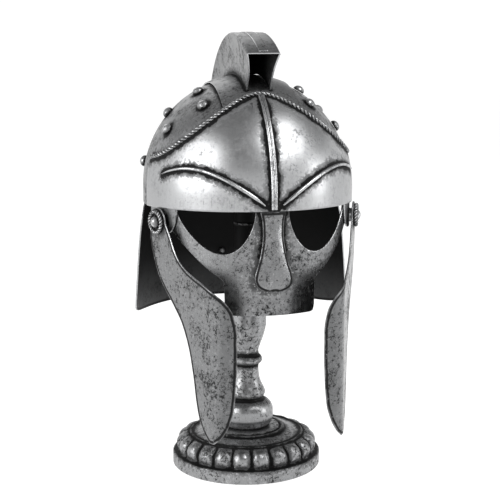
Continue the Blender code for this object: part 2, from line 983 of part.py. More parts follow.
def build():
    for item in list(bpy.data.objects):
        bpy.data.objects.remove(item, do_unlink=True)
    make_skull()
    make_brow_plate()
    make_brow_rope()
    make_centre_rib()
    make_saddle()
    make_crest()
    make_studs()
    make_face_plate()
    make_nasal()
    make_neck_guard()
    make_rivets()
    for name, side in (("left", 1), ("right", -1)):
        make_brow_rib("brow_rib_" + name, side)
        make_cheek_guard("cheek_guard_" + name, side)
        make_boss("hinge_boss_" + name, side)
        make_ring("hinge_ring_" + name, side)
    make_base()
    make_column()
    make_post()
    make_head_rest()


build()
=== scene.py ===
import math

import bmesh
import bpy
from mathutils import Matrix, Vector
from mathutils.kdtree import KDTree


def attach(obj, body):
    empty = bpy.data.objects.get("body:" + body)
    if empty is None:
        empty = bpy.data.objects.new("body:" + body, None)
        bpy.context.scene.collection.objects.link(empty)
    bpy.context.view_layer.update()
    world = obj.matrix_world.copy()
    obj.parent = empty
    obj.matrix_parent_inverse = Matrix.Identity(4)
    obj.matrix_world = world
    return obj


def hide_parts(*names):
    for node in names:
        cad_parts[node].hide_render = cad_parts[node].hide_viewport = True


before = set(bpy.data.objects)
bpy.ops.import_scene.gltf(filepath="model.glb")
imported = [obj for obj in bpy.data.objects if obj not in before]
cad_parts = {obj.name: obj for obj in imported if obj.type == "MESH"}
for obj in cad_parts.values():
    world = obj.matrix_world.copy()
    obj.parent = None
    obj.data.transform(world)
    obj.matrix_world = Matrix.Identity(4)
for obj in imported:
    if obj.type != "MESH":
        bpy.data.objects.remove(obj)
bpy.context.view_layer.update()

# Gladiator helmet on a turned stand. Metres, +Z up, the helmet faces -Y.
# Bearings run round the skull from the brow, positive to the wearer's left (+X).
# Lifts run from the foot of the dome (0) to the crown (90). Angles are in degrees.

fixedBody = "helmet_on_stand"
clear = 0.0003  # between pieces
seat = 0.0008   # under a sheet that lies on the skull
plateWall = 0.0016
markReach = 0.04  # soot, and rubbed edges with their painted highlight, never show further off than this
bothSides = (("left", 1), ("right", -1))
aside = 0.5  # degrees to each side, to find which way a line runs on the skull


# maths on sockets, for materials and for Geometry Nodes

class Wire:
    def __init__(self, graph, socket):
        self.graph = graph
        self.socket = socket

    def maths(self, operation, *others, clamp=False):
        values = {0: self}
        for slot, other in enumerate(others, 1):
            values[slot] = other
        return self.graph.add("ShaderNodeMath", {"operation": operation, "use_clamp": clamp}, values)

    def out(self, name):
        return Wire(self.graph, self.socket.node.outputs[name])

    def __add__(self, other):
        return self.maths("ADD", other)

    def __sub__(self, other):
        return self.maths("SUBTRACT", other)

    def __mul__(self, other):
        return self.maths("MULTIPLY", other)

    def __truediv__(self, other):
        return self.maths("DIVIDE", other)

    def __mod__(self, other):
        return self.maths("MODULO", other)

    def __rsub__(self, other):
        return self.graph.add("ShaderNodeMath", {"operation": "SUBTRACT"}, {0: other, 1: self})

    __radd__ = __add__
    __rmul__ = __mul__


class Graph:
    def __init__(self, tree):
        self.tree = tree
        self.count = 0

    # one node of any type: its settings first, then the values or links of its sockets
    def add(self, kind, settings=None, sockets=None, out=0):
        node = self.tree.nodes.new(kind)
        node.location = (200 * (self.count % 12), -220 * (self.count // 12))
        self.count += 1
        for name, value in (settings or {}).items():
            setattr(node, name, value)
        for name, value in (sockets or {}).items():
            target = node.inputs[name]
            if isinstance(value, Wire):
                self.tree.links.new(value.socket, target)
            else:
                target.default_value = value
        return Wire(self, node.outputs[out]) if node.outputs else None


# the skull's skin, which every plate follows

skullForm = {
    "halfWidth": 0.1030, "halfLength": 0.1145, "rise": 0.1070, "spring": 0.2900,
    "rimDrop": 0.0165, "rimArch": 0.0055, "tabDrop": 0.0245, "tabHalfAngle": 11.0,
    "wall": 0.0018, "columns": 288, "rows": 66, "skirt": -0.16,
}


def skin(bearing, lift, offset):
    turn = math.radians(bearing)
    rise = math.radians(max(lift, 0.0))
    drop = math.radians(min(lift, 0.0)) * skullForm["rise"]
    across = math.cos(rise) * math.sin(turn)
    ahead = -math.cos(rise) * math.cos(turn)
    upward = math.sin(rise)
    wide, long, tall = skullForm["halfWidth"], skullForm["halfLength"], skullForm["rise"]
    point = Vector((wide * across, long * ahead, tall * upward))
    normal = Vector((across / wide, ahead / long, upward / tall)).normalized()
    return point + normal * offset + Vector((0.0, 0.0, skullForm["spring"] + drop))


def normalAt(bearing, lift):
    return (skin(bearing, lift, 1.0) - skin(bearing, lift, 0.0)).normalized()


def liftOf(height):
    share = (height - skullForm["spring"]) / skullForm["rise"]
    return math.degrees(math.asin(share)) if share > 0.0 else math.degrees(share)


def plainRim(bearing):
    arch = skullForm["rimArch"] * max(math.cos(math.radians(bearing)), 0.0)
    return skullForm["spring"] - skullForm["rimDrop"] + arch


def skullRim(bearing):
    away = abs(abs(bearing) - bossForm["bearing"]) / skullForm["tabHalfAngle"]
    bump = (1.0 - away ** 3) ** (1.0 / 3.0) if away < 1.0 else 0.0
    return plainRim(bearing) - skullForm["tabDrop"] * bump


def spread(count, low=0.0, high=1.0):
    return [low + (high - low) * step / (count - 1) for step in range(count)]


def eased(table, value, column):
    # a table read along a smooth curve through its rows
    last = len(table) - 1
    if value >= table[last][0]:
        return table[last][column]
    place = 0
    while place < last - 1 and value > table[place + 1][0]:
        place += 1

    def slope(row):
        low, high = max(row - 1, 0), min(row + 1, last)
        if 0 < row < last:
            before = (table[row][column] - table[low][column]) / (table[row][0] - table[low][0])
            after = (table[high][column] - table[row][column]) / (table[high][0] - table[row][0])
            if before * after <= 0.0:
                return 0.0
            return 2.0 * before * after / (before + after)
        return (table[high][column] - table[low][column]) / (table[high][0] - table[low][0])

    x0, x1 = table[place][0], table[place + 1][0]
    y0, y1 = table[place][column], table[place + 1][column]
    width = x1 - x0
    t = max(value - x0, 0.0) / width
    s0, s1 = slope(place) * width, slope(place + 1) * width
    return (
        (2 * t ** 3 - 3 * t ** 2 + 1) * y0 + (t ** 3 - 2 * t ** 2 + t) * s0
        + (3 * t ** 2 - 2 * t ** 3) * y1 + (t ** 3 - t ** 2) * s1
    )


def facing(normal):
    return Vector((0.0, 0.0, 1.0)).rotation_difference(normal).to_matrix()


# lines that gather soot, or get rubbed bright and carry a painted edge highlight

class Lines:
    def __init__(self):
        self.paths = []
        self.tree = None

    # cover is how far on each side of the line something hides it
    def add(self, path, closed=False, cover=0.0):
        self.paths.append((list(path), closed, cover))
        self.tree = None

    def addAll(self, other):
        self.paths += other.paths
        self.tree = None

    def settle(self):
        self.keys = [(p, i) for p, row in enumerate(self.paths) for i in range(len(row[0]))]
        self.tree = KDTree(max(len(self.keys), 1))
        for number, (p, i) in enumerate(self.keys):
            self.tree.insert(self.paths[p][0][i], number)
        self.tree.balance()

    def distance(self, point):
        if not self.paths:
            return markReach
        if self.tree is None:
            self.settle()
        best = markReach
        for _, number, gap in self.tree.find_n(point, 3):
            p, i = self.keys[number]
            path, closed, cover = self.paths[p]
            best = min(best, gap - cover)
            for step in (-1, 1):
                j = i + step
                if closed:
                    j %= len(path)
                if 0 <= j < len(path):
                    along = path[j] - path[i]
                    length = along.length_squared
                    if length > 0.0:
                        share = min(max((point - path[i]).dot(along) / length, 0.0), 1.0)
                        best = min(best, (point - path[i] - along * share).length - cover)
        return max(best, 0.0)


def circleAt(point, normal, radius, steps=24):
    turn = facing(normal)
    ring = []
    for step in range(steps):
        angle = 2.0 * math.pi * step / steps
        ring.append(point + turn @ Vector((radius * math.cos(angle), radius * math.sin(angle), 0.0)))
    return ring


# meshes

def finishMesh(name, mesh, angle=40.0):
    bmesh.ops.remove_doubles(mesh, verts=mesh.verts, dist=0.000002)
    bmesh.ops.dissolve_degenerate(mesh, edges=mesh.edges, dist=0.000001)
    bmesh.ops.recalc_face_normals(mesh, faces=mesh.faces)
    data = bpy.data.meshes.new(name)
    mesh.to_mesh(data)
    mesh.free()
    data.shade_smooth()
    data.set_sharp_from_angle(angle=math.radians(angle))
    piece = bpy.data.objects.new(name, data)
    bpy.context.scene.collection.objects.link(piece)
    return piece


def edgeLoops(columnCount, rowCount, wrap, pole):
    if wrap:
        loops = [[(i, 0) for i in range(columnCount)]]
        if not pole:
            loops.append([(i, rowCount - 1) for i in range(columnCount)])
        return loops
    loop = [(i, 0) for i in range(columnCount)]
    loop += [(columnCount - 1, k) for k in range(1, rowCount)]
    loop += [(i, rowCount - 1) for i in range(columnCount - 2, -1, -1)]
    loop += [(0, k) for k in range(rowCount - 2, 0, -1)]
    return [loop]


def joinRings(mesh, one, other):
    for i in range(len(one)):
        j = (i + 1) % len(one)
        mesh.faces.new((one[i], one[j], other[j], other[i]))


# A sheet between two offsets, with rounded edges. place(column, row, offset) gives each point.
# The inner side is marked, and the edges are kept as lines.
def shell(name, place, columns, rows, inner, outer, wrap=False, pole=False, bulge=0.0004, steps=4):
    mesh = bmesh.new()
    mark = mesh.verts.layers.float.new("inside")
    grids = []
    for offset, value in ((outer, 0.0), (inner, 1.0)):
        grid = []
        for c in columns:
            line = [mesh.verts.new(place(c, r, offset)) for r in rows]
            for vertex in line:
                vertex[mark] = value
            grid.append(line)
        grids.append(grid)
    top, under = grids
    count = len(columns)
    for i in range(count if wrap else count - 1):
        j = (i + 1) % count
        for k in range(len(rows) - 1):
            for grid in grids:
                mesh.faces.new((grid[i][k], grid[j][k], grid[j][k + 1], grid[i][k + 1]))
    edges = Lines()
    for loop in edgeLoops(count, len(rows), wrap, pole):
        middles = [0.5 * (top[i][k].co + under[i][k].co) for i, k in loop]
        halves = [0.5 * (top[i][k].co - under[i][k].co) for i, k in loop]
        size = len(loop)
        aways = []
        lean = 0.0
        for n, (i, k) in enumerate(loop):
            along = middles[(n + 1) % size] - middles[n - 1]
            away = along.cross(halves[n])
            away = away.normalized() if away.length > 0.0 else Vector()
            aways.append(away)
            nearRow = 1 if k == 0 else (len(rows) - 2 if k == len(rows) - 1 else k)
            nearColumn = i if wrap or k in (0, len(rows) - 1) else (1 if i == 0 else count - 2)
            inward = 0.5 * (top[nearColumn][nearRow].co + under[nearColumn][nearRow].co)
            lean += away.dot(middles[n] - inward)
        sign = 1.0 if lean > 0.0 else -1.0
        rings = [[top[i][k] for i, k in loop]]
        for step in range(1, steps):
            angle = math.pi * step / steps
            ring = []
            for n in range(size):
                reach = aways[n] * (sign * bulge * math.sin(angle))
                ring.append(mesh.verts.new(middles[n] + halves[n] * math.cos(angle) + reach))
            rings.append(ring)
        rings.append([under[i][k] for i, k in loop])
        for one, other in zip(rings, rings[1:]):
            joinRings(mesh, one, other)
        edges.add(middles, closed=True)
    return finishMesh(name, mesh), edges


def loft(name, sections, angle=40.0):
    mesh = bmesh.new()
    rings = [[mesh.verts.new(point) for point in section] for section in sections]
    for one, other in zip(rings, rings[1:]):
        joinRings(mesh, one, other)
    mesh.faces.new(rings[0])
    mesh.faces.new(rings[-1])
    return finishMesh(name, mesh, angle)


def lineObject(name, points, closed=False):
    data = bpy.data.meshes.new(name)
    count = len(points)
    edges = [(i, (i + 1) % count) for i in range(count if closed else count - 1)]
    data.from_pydata([tuple(point) for point in points], edges, [])
    line = bpy.data.objects.new(name, data)
    bpy.context.scene.collection.objects.link(line)
    return line


# Geometry Nodes

def newTree(name, inputs):
    tree = bpy.data.node_groups.new(name, "GeometryNodeTree")
    tree.interface.new_socket("Geometry", in_out="INPUT", socket_type="NodeSocketGeometry")
    for label, kind in inputs:
        tree.interface.new_socket(label, in_out="INPUT", socket_type=kind)
    tree.interface.new_socket("Geometry", in_out="OUTPUT", socket_type="NodeSocketGeometry")
    graph = Graph(tree)
    return tree, graph, graph.add("NodeGroupInput")


def endTree(graph, source, geometry):
    solid = graph.add("GeometryNodeRealizeInstances", None, {0: geometry})
    painted = graph.add("GeometryNodeSetMaterial", None, {0: solid, "Material": source.out("Material")})
    graph.add("NodeGroupOutput", None, {0: painted})


# Sweeps a wire of twisted strands along a line
def makeRopeTree():
    inputs = [
        ("Radius", "NodeSocketFloat"), ("Groove", "NodeSocketFloat"), ("Strands", "NodeSocketFloat"),
        ("Pitch", "NodeSocketFloat"), ("Step", "NodeSocketFloat"), ("Sides", "NodeSocketInt"),
        ("Material", "NodeSocketMaterial"),
    ]
    tree, graph, source = newTree("twisted_wire", inputs)
    line = graph.add("GeometryNodeMeshToCurve", None, {0: source.out("Geometry")})
    line = graph.add(
        "GeometryNodeResampleCurve", {"mode": "LENGTH"}, {0: line, "Length": source.out("Step")}
    )
    run = graph.add("GeometryNodeSplineParameter", None, None, "Length")
    tilt = run * (2.0 * math.pi) / source.out("Pitch")
    line = graph.add("GeometryNodeSetCurveTilt", None, {0: line, "Tilt": tilt})
    ring = graph.add(
        "GeometryNodeCurvePrimitiveCircle", {"mode": "RADIUS"},
        {"Resolution": source.out("Sides"), "Radius": source.out("Radius")},
    )
    turn = graph.add("GeometryNodeInputIndex") * (2.0 * math.pi) / source.out("Sides")
    wave = (turn * source.out("Strands") * 0.5).maths("COSINE").maths("ABSOLUTE")
    share = 1.0 - source.out("Groove") * (1.0 - wave)
    spot = graph.add("GeometryNodeInputPosition")
    moved = graph.add("ShaderNodeVectorMath", {"operation": "SCALE"}, {0: spot, "Scale": share})
    ring = graph.add("GeometryNodeSetPosition", None, {0: ring, "Position": moved})
    swept = graph.add(
        "GeometryNodeCurveToMesh", None, {"Curve": line, "Profile Curve": ring, "Fill Caps": True}
    )
    endTree(graph, source, swept)
    return tree


# Puts a round head with a thin flange on every point, facing the way that the point says
def makeHeadTree():
    inputs = [
        ("Radius", "NodeSocketFloat"), ("Height", "NodeSocketFloat"), ("Flange", "NodeSocketFloat"),
        ("Flange Height", "NodeSocketFloat"), ("Sides", "NodeSocketInt"),
        ("Material", "NodeSocketMaterial"),
    ]
    tree, graph, source = newTree("round_heads", inputs)
    ball = graph.add(
        "GeometryNodeMeshUVSphere", None,
        {"Segments": source.out("Sides"), "Rings": source.out("Sides"), "Radius": 1.0},
    )
    spot = graph.add("ShaderNodeSeparateXYZ", None, {0: graph.add("GeometryNodeInputPosition")}, "X")
    rise = spot.out("Z").maths("MAXIMUM", 0.0) * source.out("Height") + source.out("Flange Height")
    shape = graph.add("ShaderNodeCombineXYZ", None, {
        "X": spot * source.out("Radius"),
        "Y": spot.out("Y") * source.out("Radius"),
        "Z": rise,
    })
    dome = graph.add("GeometryNodeSetPosition", None, {0: ball, "Position": shape})
    flange = graph.add("GeometryNodeMeshCylinder", None, {
        "Vertices": source.out("Sides"), "Radius": source.out("Flange"),
        "Depth": source.out("Flange Height"),
    })
    lifted = graph.add("ShaderNodeCombineXYZ", None, {"Z": source.out("Flange Height") * 0.5})
    flange = graph.add("GeometryNodeTransform", None, {0: flange, "Translation": lifted})
    head = graph.add("GeometryNodeJoinGeometry", None, {0: flange})
    graph.tree.links.new(dome.socket, head.socket.node.inputs[0])
    normal = graph.add(
        "GeometryNodeInputNamedAttribute", {"data_type": "FLOAT_VECTOR"}, {"Name": "facing"}, "Attribute"
    )
    turn = graph.add("FunctionNodeAlignRotationToVector", {"axis": "Z"}, {"Vector": normal})
    placed = graph.add("GeometryNodeInstanceOnPoints", None, {
        "Points": source.out("Geometry"), "Instance": head, "Rotation": turn,
    })
    endTree(graph, source, placed)
    return tree


# Turns a profile round +Z, with lobes cut into it where the profile says
def makeTurnedTree():
    inputs = [
        ("Sides", "NodeSocketInt"), ("Lobes", "NodeSocketFloat"), ("Lobe Depth", "NodeSocketFloat"),
        ("Lobe Drop", "NodeSocketFloat"), ("Material", "NodeSocketMaterial"),
    ]
    tree, graph, source = newTree("turned_piece", inputs)
    profile = source.out("Geometry")
    rows = graph.add(
        "GeometryNodeAttributeDomainSize", {"component": "MESH"}, {0: profile}, "Point Count"
    )
    grid = graph.add("GeometryNodeMeshGrid", None, {
        "Vertices X": source.out("Sides") + 1.0, "Vertices Y": rows,
    })
    index = graph.add("GeometryNodeInputIndex")
    row = index % rows
    column = (index / rows).maths("FLOOR")
    spot = graph.add("GeometryNodeSampleIndex", {"data_type": "FLOAT_VECTOR"}, {
        "Geometry": profile, "Value": graph.add("GeometryNodeInputPosition"), "Index": row,
    })
    lobe = graph.add("GeometryNodeSampleIndex", {"data_type": "FLOAT"}, {
        "Geometry": profile, "Index": row,
        "Value": graph.add(
            "GeometryNodeInputNamedAttribute", {"data_type": "FLOAT"}, {"Name": "lobe"}, "Attribute"
        ),
    })
    turn = column * (2.0 * math.pi) / source.out("Sides")
    swell = (turn * source.out("Lobes") * 0.5).maths("SINE").maths("ABSOLUTE")
    groove = (1.0 - swell).maths("POWER", 1.35) * lobe
    parts = graph.add("ShaderNodeSeparateXYZ", None, {0: spot}, "X")
    radius = parts - groove * source.out("Lobe Depth")
    height = parts.out("Z") - groove * source.out("Lobe Drop")
    place = graph.add("ShaderNodeCombineXYZ", None, {
        "X": radius * turn.maths("COSINE"), "Y": radius * turn.maths("SINE"), "Z": height,
    })
    turned = graph.add("GeometryNodeSetPosition", None, {0: grid, "Position": place})
    closed = graph.add("GeometryNodeMergeByDistance", None, {0: turned, "Distance": 0.000004})
    endTree(graph, source, closed)
    return tree


# Runs a tree on an object and gives back the result as a plain mesh object
def runTree(name, carrier, tree, values, angle=40.0):
    modifier = carrier.modifiers.new("shape", "NODES")
    modifier.node_group = tree
    for item in tree.interface.items_tree:
        if item.in_out == "INPUT" and item.name in values:
            modifier[item.identifier] = values[item.name]
    view = bpy.context.evaluated_depsgraph_get()
    data = bpy.data.meshes.new_from_object(carrier.evaluated_get(view))
    bpy.data.objects.remove(carrier)
    mesh = bmesh.new()
    mesh.from_mesh(data)
    piece = finishMesh(name, mesh, angle)
    piece.data.materials.append(values["Material"])
    return piece


ropeTree = makeRopeTree()
headTree = makeHeadTree()
turnedTree = makeTurnedTree()
print("trees built")


# aged metal

metalLook = {
    "light": 0.60, "dark": 0.006, "roughness": 0.30, "soot": 0.0040, "core": 0.0022,
    "speckle": 0.8, "pits": 0.6, "patch": 0.50, "scratch": 0.5, "line": 0.0, "grain": 1.0,
    "cloudy": 1.0,
}
# The inner side goes near black: partly a blackened inner face, partly painted shade inside the hollows
insideLook = {"shade": 0.010, "roughness": 0.62}
metalNoise = {
    # waves to the metre, octaves, roughness
    "cloud": (26.0, 3.0, 0.50), "mottle": (95.0, 5.0, 0.62), "flecks": (330.0, 4.0, 0.72),
    "grain": (2100.0, 2.0, 0.60), "pepper": (780.0, 3.0, 0.80), "brushing": (900.0, 2.0, 0.60),
    "hairs": (420.0, 2.0, 0.55),
}
# how much relief each gives, in metres; the patina lies lower than bare metal
metalRelief = {
    "cloud": 0.00016, "mottle": 0.00006, "flecks": 0.000035, "grain": 0.000012,
    "brushing": 0.000012, "patina": 0.00003,
}


def smooth(value, low, high):
    return value.graph.add(
        "ShaderNodeMapRange", {"interpolation_type": "SMOOTHSTEP", "clamp": True},
        {"Value": value, "From Min": low, "From Max": high},
    )


def noise(place, kind):
    scale, detail, rough = metalNoise[kind]
    return place.graph.add(
        "ShaderNodeTexNoise", {"noise_dimensions": "3D"},
        {"Vector": place, "Scale": scale, "Detail": detail, "Roughness": rough},
    )


# pulls a pattern out into fine lines
def stretched(place, turn, squeeze):
    return place.graph.add(
        "ShaderNodeMapping", {"vector_type": "POINT"},
        {"Vector": place, "Rotation": turn, "Scale": (1.0, 1.0, squeeze)},
    )


def blend(low, high, share):
    return share.graph.add(
        "ShaderNodeMix", {"data_type": "FLOAT"}, {"Factor": share, "A": low, "B": high}
    )


# dark patina, rubbed edges that also carry a painted edge highlight, and bright specks, as masks from 0 to
# 1
def wearAndHighlightOf(look, seam, rim, noises):
    cloud, mottle, flecks, pepper, hairs = noises
    # soot: solid in the seam, then broken up by flecks as it thins out
    ragged = seam + (mottle - 0.5) * 0.0064 + (flecks - 0.5) * 0.0060
    core = 1.0 - smooth(ragged, look["core"] - 0.0003, look["core"] + 0.0003)
    haze = 1.0 - smooth(seam + (mottle - 0.5) * 0.012, 0.0, look["soot"] * 2.4)
    broken = smooth(flecks + haze * 0.26, 0.58, 0.64) * haze
    # patches of flecks away from the seams
    patch = smooth(cloud + (mottle - 0.5) * 0.6, look["patch"], look["patch"] + 0.10)
    dots = smooth(flecks + (pepper - 0.5) * 0.5, 0.54, 0.58) * patch * look["speckle"]
    spots = flecks * 0.65 + pepper * 0.35
    pits = smooth(spots + (mottle - 0.5) * 0.26 + (cloud - 0.5) * 0.22, 0.54, 0.57) * look["pits"]
    sparks = smooth(spots, 0.44, 0.38) * look["pits"]
    scratches = smooth(hairs, 0.655, 0.69) * smooth(mottle, 0.45, 0.60) * look["scratch"]
    patina = core.maths("MAXIMUM", broken * 0.85).maths("MAXIMUM", dots * 0.92)
    patina = patina.maths("MAXIMUM", scratches * 0.65).maths("MAXIMUM", pits * 0.86)
    if look["line"]:
        off = (rim - look["line"] + (mottle - 0.5) * 0.0014).maths("ABSOLUTE")
        line = 1.0 - smooth(off, 0.0006, 0.0013)
        patina = patina.maths("MAXIMUM", line * smooth(flecks, 0.28, 0.38) * 0.97)
    # rubbed edges: worn bright metal, painted lighter still as an edge highlight
    wornEdgeAndHighlight = 1.0 - smooth(rim + (mottle - 0.5) * 0.0007, 0.00035, 0.0009)
    return patina * (1.0 - wornEdgeAndHighlight * 0.85), wornEdgeAndHighlight, sparks


def agedMetal(name, **changes):
    look = {**metalLook, **changes}
    material = bpy.data.materials.new(name)
    material.use_nodes = True
    material.node_tree.nodes.clear()
    graph = Graph(material.node_tree)
    place = graph.add("ShaderNodeTexCoord", None, None, "Object")
    seam, rim, inside = (
        graph.add("ShaderNodeAttribute", {"attribute_name": mark}, None, "Fac")
        for mark in ("seam", "rim", "inside")
    )
    cloud, mottle, flecks, grain, pepper = (
        noise(place, kind) for kind in ("cloud", "mottle", "flecks", "grain", "pepper")
    )
    brushing = noise(stretched(place, (0.35, 0.1, 0.2), 0.035), "brushing")
    hairs = noise(stretched(place, (0.9, 0.5, 0.2), 0.018), "hairs")

    noises = (cloud, mottle, flecks, pepper, hairs)
    patina, wornEdgeAndHighlight, sparks = wearAndHighlightOf(look, seam, rim, noises)
    grime = smooth(mottle + (cloud - 0.5) * 0.7, 0.42, 0.70) * look["cloudy"]
    shade = look["light"] * (1.0 - grime * 0.20 + (brushing - 0.5) * 0.22 + (grain - 0.5) * 0.30)
    shade = shade * (1.0 + sparks * 0.55)
    # rubbed edges and their painted highlight lighten the colour
    shade = blend(shade, look["light"] * 1.2 + 0.22, wornEdgeAndHighlight)
    shade = blend(shade, look["dark"], patina)
    # painted shade and a blackened inner face: the inside mark turns the metal near black
    shade = blend(shade, insideLook["shade"], inside)
    tint = graph.add("ShaderNodeCombineColor", None, {
        "Red": shade * 0.985, "Green": shade * 0.995, "Blue": shade * 1.01,
    })
    rough = look["roughness"] + grime * 0.10 + (mottle - 0.5) * (0.14 * look["cloudy"])
    rough = rough + (brushing - 0.5) * 0.10
    rough = blend(rough, 0.62, patina)
    rough = blend(rough, 0.22, wornEdgeAndHighlight)
    rough = blend(rough, insideLook["roughness"], inside)
    metallic = blend(1.0 - patina * 0.75, 0.5, inside)

    relief = metalRelief
    height = (cloud * relief["cloud"] + mottle * relief["mottle"]) * look["cloudy"]
    height = (height + flecks * relief["flecks"] + grain * relief["grain"]) * look["grain"]
    height = height + brushing * relief["brushing"] - patina * relief["patina"]
    bump = graph.add("ShaderNodeBump", None, {"Strength": 1.0, "Distance": 1.0, "Height": height})
    shader = graph.add("ShaderNodeBsdfPrincipled", None, {
        "Base Color": tint, "Roughness": rough, "Metallic": metallic, "Normal": bump,
        "Specular IOR Level": 0.12,
    })
    graph.add("ShaderNodeOutputMaterial", None, {"Surface": shader})
    return material


metals = {
    "skull": agedMetal("aged_skull_sheet", light=0.25, roughness=0.38, speckle=0.85, core=0.0026),
    "brow": agedMetal("rubbed_brow_sheet", light=0.39, roughness=0.33, speckle=0.5, pits=0.2,
                      core=0.0025, soot=0.0048, patch=0.55, cloudy=0.45),
    "crest": agedMetal("aged_crest_sheet", light=0.22, roughness=0.33, speckle=0.9,
                       core=0.0030, soot=0.0060),
    "face": agedMetal("aged_face_sheet", light=0.23, roughness=0.28, speckle=1.0, pits=0.8,
                      core=0.0032, soot=0.0065, patch=0.49),
    "guard": agedMetal("aged_guard_sheet", light=0.22, roughness=0.26, speckle=1.0, pits=1.0,
                       soot=0.0055, patch=0.48, line=0.0019),
    "neck": agedMetal("aged_neck_sheet", light=0.24, roughness=0.36, line=0.0019, core=0.0030),
    "trim": agedMetal("rubbed_trim", light=0.46, roughness=0.25, speckle=0.6, grain=0.5, core=0.0016),
    "rope": agedMetal("twisted_border", light=0.40, roughness=0.22, speckle=0.6, grain=0.4, core=0.0012),
    "cast": agedMetal("aged_casting", light=0.29, roughness=0.35, speckle=1.0, pits=0.9,
                      patch=0.48, grain=1.6),
}
print("metals mixed")


# Gives a finished piece its marks, its metal, its body and the nodes that it stands for
def dress(piece, metal, body, nodes=(), soot=None, edges=None):
    data = piece.data
    if not data.materials:
        data.materials.append(metals[metal])
    if "inside" not in data.attributes:
        data.attributes.new("inside", "FLOAT", "POINT")
    for name, lines in (("seam", soot), ("rim", edges)):
        if name not in data.attributes:  # a twisted wire has its own soot
            mark = data.attributes.new(name, "FLOAT", "POINT")
            values = [lines.distance(vertex.co) if lines else markReach for vertex in data.vertices]
            mark.data.foreach_set("value", values)
    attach(piece, body)
    if nodes:
        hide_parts(*nodes)
    return piece


# brow plate and rope border

browForm = {
    "end": 80.0, "peakLift": 58.0, "endLift": 16.0, "ropeRadius": 0.0021, "ropeGroove": 0.50,
    "ropeStrands": 2.0, "ropePitch": 0.0088, "ropeStep": 0.0005, "ropeSides": 20, "footGap": 0.1,
    "columns": 150, "rows": 56,
}
ribForm = {
    "height": 0.0024, "halfWidth": 0.0019, "centreHalfWidth": 0.0030, "end": 63.0,
    "peakLift": 14.0, "start": 4.6, "steps": 70, "footRise": 3.0, "sweep": 0.74, "arch": 0.9,
    "taper": 0.45, "centreFoot": 1.0, "centreTop": 0.6, "centreSteps": 90,
}


def browTop(bearing):
    share = min(abs(bearing) / browForm["end"], 1.0)
    swing = math.cos(math.radians(90.0 * share)) ** 2
    return browForm["endLift"] + (browForm["peakLift"] - browForm["endLift"]) * swing


def browFoot(bearing):
    return liftOf(plainRim(bearing) + clear)


def ropeCentre(bearing):
    radius = browForm["ropeRadius"]
    level = clear + radius
    here = skin(bearing, browTop(bearing), level)
    ahead = skin(bearing + aside, browTop(bearing + aside), level)
    behind = skin(bearing - aside, browTop(bearing - aside), level)
    upward = (ahead - behind).cross(normalAt(bearing, browTop(bearing))).normalized()
    if upward.z < 0.0:
        upward = -upward
    return here + upward * (radius + seat), upward


def ribLift(bearing):
    share = (bearing - ribForm["start"]) / (ribForm["end"] - ribForm["start"])
    foot = browFoot(ribForm["start"]) + ribForm["footRise"]
    arch = math.sin(ribForm["sweep"] * math.pi * share) ** ribForm["arch"]
    return foot + (ribForm["peakLift"] - foot) * arch


def ribPath(side, level, steps):
    path = []
    for bearing in spread(steps, ribForm["start"], ribForm["end"]):
        path.append(skin(side * bearing, ribLift(bearing), level))
    return path


ribLevel = 2.0 * seat + plateWall


def makeBrow(soot):
    columns = spread(browForm["columns"], -browForm["end"], browForm["end"])
    rows = spread(browForm["rows"])

    def place(bearing, share, offset):
        foot = browFoot(bearing) + browForm["footGap"]
        return skin(bearing, foot + (browTop(bearing) - foot) * share, offset)

    plate, edges = shell("brow_plate_sheet", place, columns, rows, seat, ribLevel - seat, bulge=0.0004)
    dress(plate, "brow", fixedBody, ["brow_plate"], soot, edges)


def makeBrowRope():
    end = browForm["end"] - 1.0
    path = [ropeCentre(bearing)[0] for bearing in spread(240, -end, end)]
    carrier = lineObject("rope_line", path)
    rope = runTree("brow_rope_border", carrier, ropeTree, {
        "Radius": browForm["ropeRadius"], "Groove": browForm["ropeGroove"],
        "Strands": browForm["ropeStrands"], "Pitch": browForm["ropePitch"],
        "Step": browForm["ropeStep"], "Sides": browForm["ropeSides"], "Material": metals["rope"],
    }, 60.0)
    markHollows(rope, path, browForm["ropeRadius"], browForm["ropeGroove"])
    dress(rope, "rope", fixedBody, ["brow_rope"])


hollowReach = 0.0060  # how far from soot the crowns of a twisted wire count as


# The hollows of a twisted wire are dark and its crowns are bright
def markHollows(piece, path, radius, groove):
    lines = Lines()
    lines.add(path)
    low = radius * (1.0 - groove)
    values = []
    for vertex in piece.data.vertices:
        share = (lines.distance(vertex.co) - low) / (radius - low)
        values.append(hollowReach * min(max(share, 0.0), 1.0))
    mark = piece.data.attributes.new("seam", "FLOAT", "POINT")
    mark.data.foreach_set("value", values)


# half of each rib's section, from its foot: share of the half width, share of the height
roundShape = [(-1.0, 0.0), (-0.97, 0.30), (-0.86, 0.60), (-0.62, 0.85), (-0.32, 0.97), (0.0, 1.0)]
doubleShape = [
    (-1.0, 0.0), (-0.99, 0.34), (-0.90, 0.68), (-0.72, 0.92), (-0.50, 1.0), (-0.28, 0.93),
    (-0.12, 0.72), (0.0, 0.58),
]


def ribSection(middle, normal, across, halfWidth, height, shape):
    whole = shape + [(-x, y) for x, y in shape[-2::-1]]
    return [middle + across * (x * halfWidth) + normal * (y * height) for x, y in whole]


